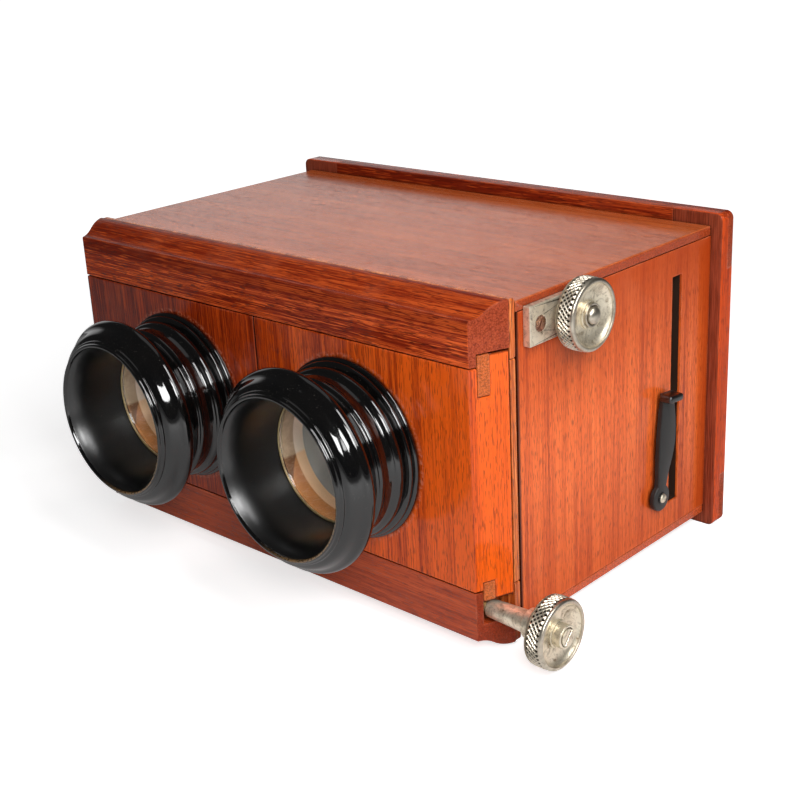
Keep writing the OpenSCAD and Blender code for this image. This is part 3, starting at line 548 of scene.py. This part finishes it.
brass = metal("aged_brass", (0.72, 0.50, 0.24), (0.20, 0.11, 0.05), roughness=0.24, stains=0.5)
gilt = metal("gilt_wire", (0.52, 0.40, 0.21), (0.22, 0.15, 0.06), roughness=0.25, stains=0.5, metallic=0.6)
copper = metal("copper_tint", (0.72, 0.46, 0.36), (0.26, 0.11, 0.06), roughness=0.2, stains=0.35)
gloss_black = ebonite("gloss_black", roughness=0.05, gloss=0.85)
satin_black = ebonite("satin_black", roughness=0.29, gloss=1.0)
steel = dark_steel("dark_steel")
lens_glass = glass("lens_glass", (0.97, 0.98, 0.97), roughness=0.0, dulling=0.02)
ground_glass = glass("ground_glass", (0.80, 0.82, 0.80), roughness=0.75, dulling=0.1,
                     shadow_tint=(0.92, 0.93, 0.92))


# CAD nodes kept as they are: a material, and softened edges on the wood and the plate

WOODEN = {
    top_wood: ("case_top",),
    bottom_wood: ("case_bottom",),
    side_wood: ("case_side_left", "case_side_right"),
    panel_wood: ("lens_panel_left", "lens_panel_right"),
    rail_wood: ("cornice",),
    foot_wood: ("foot_rail",),
    frame_wood: ("front_frame_left", "front_frame_right", "front_frame_top", "front_frame_bottom"),
    key_wood: ("panel_keys_left", "panel_keys_right"),
    inside_wood: ("glass_bead_top", "glass_bead_bottom", "glass_bead_left", "glass_bead_right",
                  "slide_guide_top", "slide_guide_bottom", "drawer_side_left", "drawer_side_right"),
}
OTHERS = {
    grey_card: ("septum", "front_frame_muntin"),
    nickel: ("focus_shaft",),
    plate_nickel: ("focus_bearing_plate", "spindle", "spindle_collar"),
    copper: ("plate_screws",),
    brass: ("focus_bush", "pinion_left", "pinion_right", "rack_left", "rack_right", "spindle_bearing_left",
            "spindle_bearing_right", "nut_left", "nut_right"),
    steel: ("lever_washer",),
    ground_glass: ("ground_glass",),
}
WELD_REACH = 0.002
WOOD_ROUND = 0.45
CORNICE_ROUND = 1.0
PLATE_ROUND = 0.25
SHARP_ANGLE = 38


def paint(piece, material):
    """Gives a piece one material."""
    piece.data.materials.clear()
    piece.data.materials.append(material)


def soften(piece, width):
    """Rounds a piece's sharp edges with modifiers, so its own mesh stays as it is."""
    weld = piece.modifiers.new("weld", "WELD")
    weld.merge_threshold = WELD_REACH * MM
    bevel = piece.modifiers.new("bevel", "BEVEL")
    bevel.width = width * MM
    bevel.segments = 3
    bevel.limit_method = "ANGLE"
    bevel.angle_limit = math.radians(SHARP_ANGLE)
    bevel.harden_normals = True
    bevel.use_clamp_overlap = True


for material, names in WOODEN.items():
    for name in names:
        paint(cad[name], material)
        soften(cad[name], CORNICE_ROUND if name == "cornice" else WOOD_ROUND)
for material, names in OTHERS.items():
    for name in names:
        paint(cad[name], material)
soften(cad["focus_bearing_plate"], PLATE_ROUND)


# Helpers for pieces built here in place of CAD nodes

def finish_piece(name, mesh_build, materials, body, node, smooth_angle):
    """An object from a bmesh: smooth shaded below an angle, riding on its body in place of a CAD node."""
    mesh = bpy.data.meshes.new(name)
    bmesh.ops.recalc_face_normals(mesh_build, faces=mesh_build.faces)
    mesh_build.to_mesh(mesh)
    mesh_build.free()
    for material in materials:
        mesh.materials.append(material)
    mesh.polygons.foreach_set("use_smooth", [True] * len(mesh.polygons))
    mesh.set_sharp_from_angle(angle=math.radians(smooth_angle))
    piece = bpy.data.objects.new(name, mesh)
    bpy.context.scene.collection.objects.link(piece)
    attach(piece, body)
    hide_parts(node)
    return piece


def arc(centre_r, centre_d, radius, start, end, steps):
    """Points of an arc on a turning profile; 0 degrees points outwards and 90 along the axis."""
    angles = [math.radians(start + (end - start) * i / steps) for i in range(steps + 1)]
    return [(centre_r + radius * math.cos(a), centre_d + radius * math.sin(a)) for a in angles]


def curve(points, steps):
    """A smooth curve through profile points."""
    result = []
    for i in range(len(points) - 1):
        a = points[max(i - 1, 0)]
        b = points[i]
        c = points[i + 1]
        d = points[min(i + 2, len(points) - 1)]
        for k in range(steps):
            t = k / steps
            result.append(tuple(
                0.5 * (2 * b[n] + (c[n] - a[n]) * t + (2 * a[n] - 5 * b[n] + 4 * c[n] - d[n]) * t ** 2
                       + (3 * b[n] - a[n] - 3 * c[n] + d[n]) * t ** 3) for n in (0, 1)))
    return result + [points[-1]]


DOME_STEPS = 8


def dome(radius, foot, top):
    """Profile points of a dome, from its foot to its top on the axis."""
    angles = [math.pi / 2 * i / DOME_STEPS for i in range(DOME_STEPS)]
    return [(radius * math.cos(a), foot + (top - foot) * math.sin(a)) for a in angles] + [(0.0, top)]


def turn(build, profile, segments, place, slots=None, closed=True):
    """Turns a profile of (radius, distance) points round an axis. place gives a point's position."""
    rings = []
    for radius, distance in profile:
        count = segments if radius else 1
        ring = [build.verts.new(place(radius, distance, 2 * math.pi * i / segments)) for i in range(count)]
        rings.append(ring * (segments // count))
    for k in range(len(rings) if closed else len(rings) - 1):
        ring = rings[k]
        following = rings[(k + 1) % len(rings)]
        for i in range(segments):
            j = (i + 1) % segments
            corners = dict.fromkeys((ring[i], ring[j], following[j], following[i]))
            face = build.faces.new(tuple(corners))
            if slots:
                face.material_index = slots[k]


def raise_face(build, points, height):
    """A flat outline raised along X by a height in millimetres. Gives back its upper face."""
    base = build.faces.new([build.verts.new(point) for point in points])
    grown = bmesh.ops.extrude_face_region(build, geom=[base])["geom"]
    cap = next(e for e in grown if isinstance(e, bmesh.types.BMFace))
    bmesh.ops.translate(build, verts=cap.verts, vec=(MM * height, 0, 0))
    return cap


def round_edges(build, sharp, radius, segments, clamp=False):
    """Rounds the sharp edges given, by a radius in millimetres."""
    bmesh.ops.bevel(build, geom=list(sharp), offset=radius * MM, offset_type="OFFSET", segments=segments,
                    profile=0.5, affect="EDGES", clamp_overlap=clamp)


# Eyepieces

EYECUP_SEGMENTS = 160
LENS_SEGMENTS = 96
LENS_BACK_BULGE = 0.3
LENS_FRONT_BULGE = 1.0
LENS_EDGE = 1.0
LENS_CLEAR = 0.02
WIRE_R = 0.26
WIRE_AT = 8.45


def eyecup_profile():
    """The outside from spigot to mouth, the funnel and the bore behind the lens, each step with its slot."""
    outside = [(SPIGOT_R, -SPIGOT_LEN), (SPIGOT_R, 0.0), (BASE_R - 0.5, 0.0)]
    outside += arc(BASE_R - 0.65, 0.75, 0.65, -80, 70, 8)
    outside += arc(BASE_R - 1.35, 2.15, 0.7, -60, 75, 8)
    outside += arc(BAND_R - 1.55, 4.7, 1.55, -70, 70, 12)
    outside += curve([(NECK_R + 0.05, 6.6), (NECK_R - 0.25, 8.0), (NECK_R - 0.05, 9.4)], 5)
    outside += arc(NECK_R - 0.1, 10.5, 0.95, -70, 70, 8)
    outside += curve([(NECK_R - 0.05, 11.8), (NECK_R + 0.35, 13.0), (NECK_R + 1.5, 14.9),
                      (BELL_R - BELL_ROUND, BELL_AT - 1.8)], 6)
    outside += arc(BELL_R - BELL_ROUND, BELL_AT - 0.3, BELL_ROUND, -45, 62, 12)
    outside += curve([(BELL_R - 1.6, BELL_AT + 2.0), (BELL_R - 2.7, BELL_AT + 3.8),
                      (MOUTH_R + 1.75, CUP_LEN - 1.6)], 5)
    outside += arc(MOUTH_R + 1.25, CUP_LEN - 1.35, 0.5, -20, 85, 6)
    outside += arc(MOUTH_R + 0.55, CUP_LEN - 0.5, 0.5, -10, 150, 8)
    funnel = curve([(MOUTH_R, CUP_LEN - 0.75), (MOUTH_R - 1.0, CUP_LEN - 2.4),
                    (MOUTH_R - 1.85, CUP_LEN - 5.2), (CELL_R + 0.5, CELL_TOP + 5.2), (CELL_R, CELL_TOP)], 6)
    behind = [(CELL_R, CELL_FOOT), (SHOULDER_R, CELL_FOOT), (SHOULDER_R, -SPIGOT_LEN)]
    return outside + funnel + behind, [0] * len(outside) + [1] * len(funnel) + [2] * len(behind)


def lens_profile():
    """Half the lens's section, from the back's middle to the front's, with a flat seat round the back."""
    edge_r = CELL_R - LENS_CLEAR
    back_r = (SHOULDER_R ** 2 + LENS_BACK_BULGE ** 2) / 2 / LENS_BACK_BULGE
    front_r = (edge_r ** 2 + LENS_FRONT_BULGE ** 2) / 2 / LENS_FRONT_BULGE
    back_angle = math.degrees(math.asin(SHOULDER_R / back_r))
    front_angle = math.degrees(math.asin(edge_r / front_r))
    seat = CELL_FOOT + LENS_CLEAR
    back = arc(0.0, seat + back_r - LENS_BACK_BULGE, back_r, -90, back_angle - 90, 14)
    front = arc(0.0, seat + LENS_EDGE + LENS_FRONT_BULGE - front_r, front_r, 90 - front_angle, 90, 14)
    return [(0.0, back[0][1])] + back[1:] + [(edge_r, seat)] + front[:-1] + [(0.0, front[-1][1])]


def eyepiece(side, sign):
    """One side's turned eyecup, its lens and the wire that holds the lens."""
    body = side + "_panel"

    def on_panel(radius, distance, angle):
        return (MM * (sign * EYE_X + radius * math.cos(angle)), MM * (PANEL_FACE_Y - distance),
                MM * (EYE_Z + radius * math.sin(angle)))

    cup = bmesh.new()
    profile, slots = eyecup_profile()
    turn(cup, profile, EYECUP_SEGMENTS, on_panel, slots)
    finish_piece("eyecup_turned_" + side, cup, (gloss_black, satin_black, bore), body, "eyecup_" + side, 50)
    disc = bmesh.new()
    turn(disc, lens_profile(), LENS_SEGMENTS, on_panel, closed=False)
    lens = finish_piece("lens_polished_" + side, disc, (lens_glass,), body, "lens_" + side, 30)
    lens.visible_shadow = False
    wire = bmesh.new()
    turn(wire, arc(CELL_R - LENS_CLEAR - WIRE_R, WIRE_AT, WIRE_R, 0, 330, 11), LENS_SEGMENTS, on_panel)
    finish_piece("lens_wire_" + side, wire, (gilt,), body, "lens_ring_" + side, 60)


for side, sign in SIDES:
    eyepiece(side, sign)


# Knurled knobs and what holds them

KNURL_DEPTH = 0.45
KNURL_MARGIN = 0.1
KNURLS = 42
KNURL_ROWS = 6
KNURL_END_GRIME_AND_SHADE = 0.3
BACK_RIM = 0.25
FRONT_RIM = 0.8
KNOB_BORE_R = 2.0
KNOB_SEAT_R = 3.2
BOWL_R = 7.6


def on_shaft(node):
    """A placing function for pieces turned round the axis of a CAD node, from its inner end outwards."""
    start = box_mm(node)[0].x
    centre = centre_mm(node)

    def place(radius, distance, angle):
        return (MM * (start + distance), MM * (centre.y + radius * math.cos(angle)),
                MM * (centre.z + radius * math.sin(angle)))

    return place


def turned_size(node):
    """Radius and length of a CAD node that is round an X axis, in millimetres."""
    low, high = box_mm(node)
    return (high.z - low.z) / 2, high.x - low.x


def knob(name, node, body):
    """A knob with diamond knurling between two rims and a bowl in its face, where its CAD node is."""
    place = on_shaft(node)
    knob_r, knob_t = turned_size(node)
    build = bmesh.new()
    valley = build.verts.layers.float.new("valley")
    columns = 2 * KNURLS
    foot = knob_r - KNURL_DEPTH
    knurl_from = BACK_RIM + KNURL_MARGIN
    knurl_to = knob_t - FRONT_RIM - KNURL_MARGIN

    def circle(radius, distance):
        return [build.verts.new(place(radius, distance, 2 * math.pi * i / columns)) for i in range(columns)]

    rows = []
    for j in range(KNURL_ROWS + 1):
        distance = knurl_from + (knurl_to - knurl_from) * j / KNURL_ROWS
        at_end = j in (0, KNURL_ROWS)
        row = []
        for i in range(columns):
            low_point = at_end or (i + j) % 2 == 0
            radius = foot if low_point else knob_r
            vert = build.verts.new(place(radius, distance, 2 * math.pi * i / columns))
            # Valley marks carry grime and painted shade; the end rows get less.
            vert[valley] = KNURL_END_GRIME_AND_SHADE if at_end else float(low_point)
            row.append(vert)
        rows.append(row)
    for j in range(KNURL_ROWS):
        for i in range(columns):
            k = (i + 1) % columns
            a, b, c, d = rows[j][i], rows[j][k], rows[j + 1][k], rows[j + 1][i]
            halves = ((a, b, c), (a, c, d)) if (i + j) % 2 else ((a, b, d), (b, c, d))
            for half in halves:
                build.faces.new(half)
    back = [(knob_r - 0.15, BACK_RIM)] + arc(knob_r - 0.40, 0.22, 0.22, 0, -90, 5)
    back += [(KNOB_BORE_R + 2.4, 0.0), (KNOB_BORE_R + 2.2, 0.15), (KNOB_BORE_R, 0.15)]
    rim = [(knob_r - 0.06, knob_t - FRONT_RIM)]
    rim += curve([(knob_r - 0.06, knob_t - 0.7), (knob_r - 0.20, knob_t - 0.28),
                  (knob_r - 0.52, knob_t - 0.06), (BOWL_R + 0.35, knob_t - 0.02)], 3)
    rim += arc(BOWL_R + 0.20, knob_t - 0.22, 0.20, 90, 160, 4)
    bowl = curve([(BOWL_R - 0.1, knob_t - 0.55), (BOWL_R - 0.9, knob_t - 1.25),
                  (KNOB_SEAT_R + 2.2, knob_t - 1.75), (KNOB_SEAT_R + 0.7, knob_t - 1.95)], 5)
    bowl += [(KNOB_SEAT_R + 0.25, knob_t - 1.9), (KNOB_SEAT_R + 0.15, knob_t - 1.3),
             (KNOB_SEAT_R, knob_t - 1.2), (KNOB_BORE_R, knob_t - 1.2)]
    for profile, previous, rim_end in ((back, rows[0], len(back)), (rim + bowl, rows[-1], len(rim))):
        for step, (radius, distance) in enumerate(profile):
            ring = circle(radius, distance)
            for i in range(columns):
                k = (i + 1) % columns
                face = build.faces.new((previous[i], previous[k], ring[k], ring[i]))
                face.material_index = int(step > rim_end)
            previous = ring
    finish_piece(name, build, (nickel, bowl_nickel), body, node, 28)


HUB_SEGMENTS = 64
HUB_INSET = 0.75
SLOT_DEPTH = 0.8
SLOT_HALF = 0.24
SLOT_LEAN = 50.0
SLOT_STEPS = 20
SCREW_ROUND = 0.1
NUT_FOOT = 0.7


def hub_screw(name, node, body):
    """A tall round hub with a slotted screw let into its end."""
    place = on_shaft(node)
    radius, height = turned_size(node)
    head_r = radius - HUB_INSET
    floor_at = height - SLOT_DEPTH
    build = bmesh.new()
    profile = [(0.0, 0.0), (radius, 0.0), (radius, height - 0.55)]
    profile += arc(radius - 0.2, height - 0.50, 0.2, 20, 110, 4)
    profile += [(radius - 0.5, height - 0.32), (radius - 0.58, floor_at - 0.25), (head_r, floor_at - 0.25),
                (head_r, floor_at), (0.0, floor_at)]
    turn(build, profile, HUB_SEGMENTS, place, closed=False)
    edge_angle = math.asin(SLOT_HALF / head_r)
    for half_turn in (0.0, math.pi):
        start = edge_angle + half_turn + math.radians(SLOT_LEAN)
        angles = [start + (math.pi - 2 * edge_angle) * i / SLOT_STEPS for i in range(SLOT_STEPS + 1)]
        outline = [place(head_r - 0.02, floor_at - 0.05, a) for a in angles]
        cap = raise_face(build, outline, SLOT_DEPTH + 0.03)
        round_edges(build, cap.edges, SCREW_ROUND, 2)
    finish_piece(name, build, (bowl_nickel,), body, node, 30)


def dome_nut(name, node, body):
    """A domed nut with a washer round it."""
    place = on_shaft(node)
    radius, height = turned_size(node)
    dome_r = radius - HUB_INSET
    profile = [(0.0, 0.0), (radius, 0.0), (radius, 0.45)]
    profile += arc(radius - 0.2, 0.5, 0.2, 20, 110, 4)
    profile += [(radius - 0.5, 0.65), (radius - 0.58, 0.2), (dome_r, 0.2)]
    profile += dome(dome_r, NUT_FOOT, height)
    build = bmesh.new()
    turn(build, profile, HUB_SEGMENTS, place, closed=False)
    finish_piece(name, build, (nickel,), body, node, 30)


PIVOT_R = 1.0
PIVOT_HEAD_H = 0.9
PIVOT_RING_W = 0.34
PIVOT_RING_H = 0.3


def pivot_screw(name, node, body):
    """A small screw with a bright dome in a dark ring."""
    place = on_shaft(node)
    radius, length = turned_size(node)
    head_at = length - PIVOT_HEAD_H
    dome_at = head_at + PIVOT_RING_H
    ring = [(0.0, 0.0), (PIVOT_R, 0.0), (PIVOT_R, head_at), (radius, head_at), (radius, dome_at - 0.1),
            (radius - 0.1, dome_at)]
    head = dome(radius - PIVOT_RING_W, dome_at, length)
    build = bmesh.new()
    turn(build, ring + head, HUB_SEGMENTS, place, [1] * len(ring) + [0] * len(head), closed=False)
    finish_piece(name, build, (bowl_nickel, steel), body, node, 30)


knob("focus_knob_knurled", "focus_knob", "focus")
knob("spindle_knob_knurled", "spindle_knob", "spindle")
hub_screw("spindle_hub_screw", "spindle_knob_screw", "spindle")
dome_nut("focus_dome_nut", "focus_knob_nut", "focus")
pivot_screw("lever_dome_screw", "lever_pivot_screw", "case")


# Rear frame: outer edges rounded a little, joints kept tight

REAR_ROUND = 0.4
REAR_CORNER = 2.05
ON_FACE = 0.02


def rear_member(name, node, material):
    """A copy of a rear frame member with its outer edges rounded and its joints tight."""
    build = bmesh.new()
    build.from_mesh(cad[node].data)
    bmesh.ops.remove_doubles(build, verts=build.verts, dist=WELD_REACH * MM)
    bmesh.ops.dissolve_limit(build, angle_limit=math.radians(1), verts=build.verts, edges=build.edges)
    outer_x = abs(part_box("rear_frame_left_stile")[0].x)
    low_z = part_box("rear_frame_bottom_rail")[0].z
    high_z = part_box("rear_frame_top_rail")[1].z
    front_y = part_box("rear_frame_left_stile")[0].y
    back_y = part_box("rear_frame_top_rail")[1].y
    near = ON_FACE * MM
    corner = REAR_CORNER * MM

    def outer(vert):
        beside = outer_x - abs(vert.co.x)
        above = min(vert.co.z - low_z, high_z - vert.co.z)
        return beside < near or above < near or (beside < corner and above < corner)

    def on_face(edge):
        return any(all(abs(v.co.y - y) < near for v in edge.verts) for y in (front_y, back_y))

    rounded = [e for e in build.edges if on_face(e) and all(outer(v) for v in e.verts)]
    round_edges(build, rounded, REAR_ROUND, 6, clamp=True)
    finish_piece(name, build, (material,), "case", node, 40)


for part, material in (("top_rail", rail_wood), ("bottom_rail", rail_wood), ("left_stile", stile_wood),
                       ("right_stile", stile_wood)):
    rear_member("rear_" + part + "_rounded", "rear_frame_" + part, material)


# Slot lever, in millimetres from its pivot

LEVER_LEAN = 5.5
LEVER_BACK_X = 75.86
LEVER_FACE_X = 77.2
LEVER_ROUND = 0.35
LEVER_EYE_R = 3.68
LEVER_LEN = 29.0
TAB_HALF_W = 3.1
TAB_OUT_X = 79.75
TAB_T = 2.1
TAB_ROUND = 0.8


def lever():
    """A leaf-shaped lever with a round eye and a thumb tab, its edges eased."""
    back_side = curve([(1.9, 3.2), (2.7, 7.0), (4.1, 11.5), (4.7, 15.5), (4.25, 20.5), (3.2, 25.0),
                       (2.5, 28.0), (2.4, LEVER_LEN)], 5)
    front_side = curve([(-2.4, LEVER_LEN), (-2.5, 26.0), (-2.75, 20.0), (-2.7, 14.5), (-2.2, 8.0),
                        (-1.9, 3.2)], 5)
    eye = [(LEVER_EYE_R * math.sin(math.radians(a)), LEVER_EYE_R * math.cos(math.radians(a)))
           for a in range(-40, -321, -10)]
    lean = math.radians(LEVER_LEAN)
    pivot = centre_mm("lever_washer")

    def place(x, y, z):
        return (MM * x, MM * (pivot.y + y * math.cos(lean) + z * math.sin(lean)),
                MM * (pivot.z - y * math.sin(lean) + z * math.cos(lean)))

    build = bmesh.new()
    outline = [place(LEVER_BACK_X, y, z) for y, z in back_side + front_side + eye]
    blade = raise_face(build, outline, LEVER_FACE_X - LEVER_BACK_X)
    round_edges(build, blade.edges, LEVER_ROUND, 3)
    blade_faces = set(build.faces)
    tab = bmesh.ops.create_cube(build, size=1.0)["verts"]
    for vert in tab:
        vert.co = place(LEVER_BACK_X + (vert.co.x + 0.5) * (TAB_OUT_X - LEVER_BACK_X),
                        vert.co.y * 2 * TAB_HALF_W, LEVER_LEN - TAB_T / 2 + vert.co.z * TAB_T)
    round_edges(build, {e for v in tab for e in v.link_edges}, TAB_ROUND, 4)
    for face in build.faces:
        face.material_index = int(face not in blade_faces)
    finish_piece("slot_lever_eased", build, (steel, satin_black), "lever", "slot_lever", 35)


lever()


# Floor, light and camera, in metres and degrees

FLOOR_HALF = 6.0
SHADOW_NEAR = 0.16
SHADOW_FAR = 0.45
FLOOR_MIRRORED = 0.1
BACKDROP_EDGE = 31
BACKDROP_LIGHT = 0.82
ROOM_LIGHT = 0.05
CAMERA_PLACE = (0.259807, -0.272288, 0.171053)
CAMERA_AZIMUTH = 43.787
CAMERA_ELEVATION = 20.543
CAMERA_ROLL = -2.977
FOCAL_LENGTH = 62.616
WHITE = (1.0, 1.0, 1.0, 1.0)


def floor():
    """A plain white table that shows the object's shadow."""
    mesh = bpy.data.meshes.new("floor")
    corners = ((-1, -1), (1, -1), (1, 1), (-1, 1))
    mesh.from_pydata([(x * FLOOR_HALF, y * FLOOR_HALF, cad_low.z) for x, y in corners], [], [(0, 1, 2, 3)])
    piece = bpy.data.objects.new("floor", mesh)
    bpy.context.scene.collection.objects.link(piece)
    material = bpy.data.materials.new("white_table")
    material.use_nodes = True
    tree = material.node_tree
    shader = tree.nodes["Principled BSDF"]
    shader.inputs["Base Color"].default_value = (0.8, 0.8, 0.8, 1.0)
    shader.inputs["Roughness"].default_value = 0.9
    shader.inputs["Specular IOR Level"].default_value = 0.0
    shader.inputs["Emission Color"].default_value = WHITE
    ray = add(tree, "ShaderNodeLightPath").outputs
    place = add(tree, "ShaderNodeTexCoord").outputs["Object"]
    away = add(tree, "ShaderNodeVectorMath", {"operation": "LENGTH"}, i0=place).outputs["Value"]
    seen = maths(tree, "MULTIPLY", ray["Is Camera Ray"], ease(tree, away, SHADOW_NEAR, SHADOW_FAR, 0.7, 1.0))
    indirect = maths(tree, "MAXIMUM", ray["Is Glossy Ray"], ray["Is Transmission Ray"])
    mirrored = maths(tree, "MULTIPLY", indirect, FLOOR_MIRRORED)
    tree.links.new(maths(tree, "MAXIMUM", seen, mirrored), shader.inputs["Emission Strength"])
    mesh.materials.append(material)


def lamp(name, place, target, width, height, power, spread=180.0, mirrored=True):
    """A rectangular lamp that faces a target, with its beam's spread, and shown or not in polished faces."""
    light = bpy.data.lights.new(name, "AREA")
    light.shape = "RECTANGLE"
    light.size = width
    light.size_y = height
    light.energy = power
    light.spread = math.radians(spread)
    piece = bpy.data.objects.new(name, light)
    bpy.context.scene.collection.objects.link(piece)
    piece.visible_glossy = mirrored
    direction = Vector(target) - Vector(place)
    piece.matrix_world = Matrix.Translation(place) @ direction.to_track_quat("-Z", "Y").to_matrix().to_4x4()


def world():
    """Dim room light, with a white backdrop low down behind the object on its left."""
    room = bpy.data.worlds.new("room")
    bpy.context.scene.world = room
    room.use_nodes = True
    tree = room.node_tree
    direction = add(tree, "ShaderNodeTexCoord").outputs["Generated"]
    edge = math.radians(BACKDROP_EDGE)
    aside = add(tree, "ShaderNodeVectorMath", {"operation": "DOT_PRODUCT"}, i0=direction,
                i1=(-math.cos(edge), -math.sin(edge), 0.0)).outputs["Value"]
    behind = ease(tree, parts(tree, direction)[1], -0.1, 0.2)
    low = ease(tree, parts(tree, direction)[2], 0.34, 0.48, 1.0, 0.0)
    lit = maths(tree, "MULTIPLY", ease(tree, aside, -0.14, 0.16), maths(tree, "MULTIPLY", behind, low))
    lit = ease(tree, lit, 0.0, 1.0, ROOM_LIGHT, BACKDROP_LIGHT)
    seen = add(tree, "ShaderNodeLightPath").outputs["Is Camera Ray"]
    backdrop = tree.nodes["Background"]
    backdrop.inputs["Color"].default_value = WHITE
    tree.links.new(maths(tree, "MAXIMUM", lit, seen), backdrop.inputs["Strength"])


def camera():
    """The photo's viewpoint."""
    azimuth = math.radians(CAMERA_AZIMUTH)
    elevation = math.radians(CAMERA_ELEVATION)
    roll = math.radians(CAMERA_ROLL)
    back = Vector((math.sin(azimuth) * math.cos(elevation), -math.cos(azimuth) * math.cos(elevation),
                   math.sin(elevation)))
    right = Vector((0, 0, 1)).cross(back).normalized()
    up = back.cross(right)
    turned_right = math.cos(roll) * right + math.sin(roll) * up
    turned_up = math.cos(roll) * up - math.sin(roll) * right
    matrix = Matrix((turned_right, turned_up, back)).transposed().to_4x4()
    matrix.translation = CAMERA_PLACE
    lens = bpy.data.cameras.new("camera")
    lens.sensor_width = 36.0
    lens.lens = FOCAL_LENGTH
    lens.clip_start = 0.01
    piece = bpy.data.objects.new("camera", lens)
    bpy.context.scene.collection.objects.link(piece)
    piece.matrix_world = matrix
    bpy.context.scene.camera = piece


floor()
lamp("window_near", (0.36, -0.16, 0.40), (0.0, -0.02, 0.04), 0.08, 0.34, power=0.75)
lamp("window_far", (0.36, -0.04, 0.40), (0.0, -0.02, 0.04), 0.08, 0.34, power=0.75)
lamp("front_window", (0.32, -0.30, 0.27), (0.0, -0.05, 0.04), 0.14, 0.14, power=1.0)
lamp("ceiling", (-0.1, 0.2, 0.9), (0.0, 0.0, 0.0), 0.6, 0.6, power=0.4)
lamp("back_window", (0.07, 0.30, 0.10), (0.0, 0.0, 0.04), 0.12, 0.12, power=0.065, spread=30.0,
     mirrored=False)
world()
camera()
bpy.context.scene.view_settings.view_transform = "Standard"
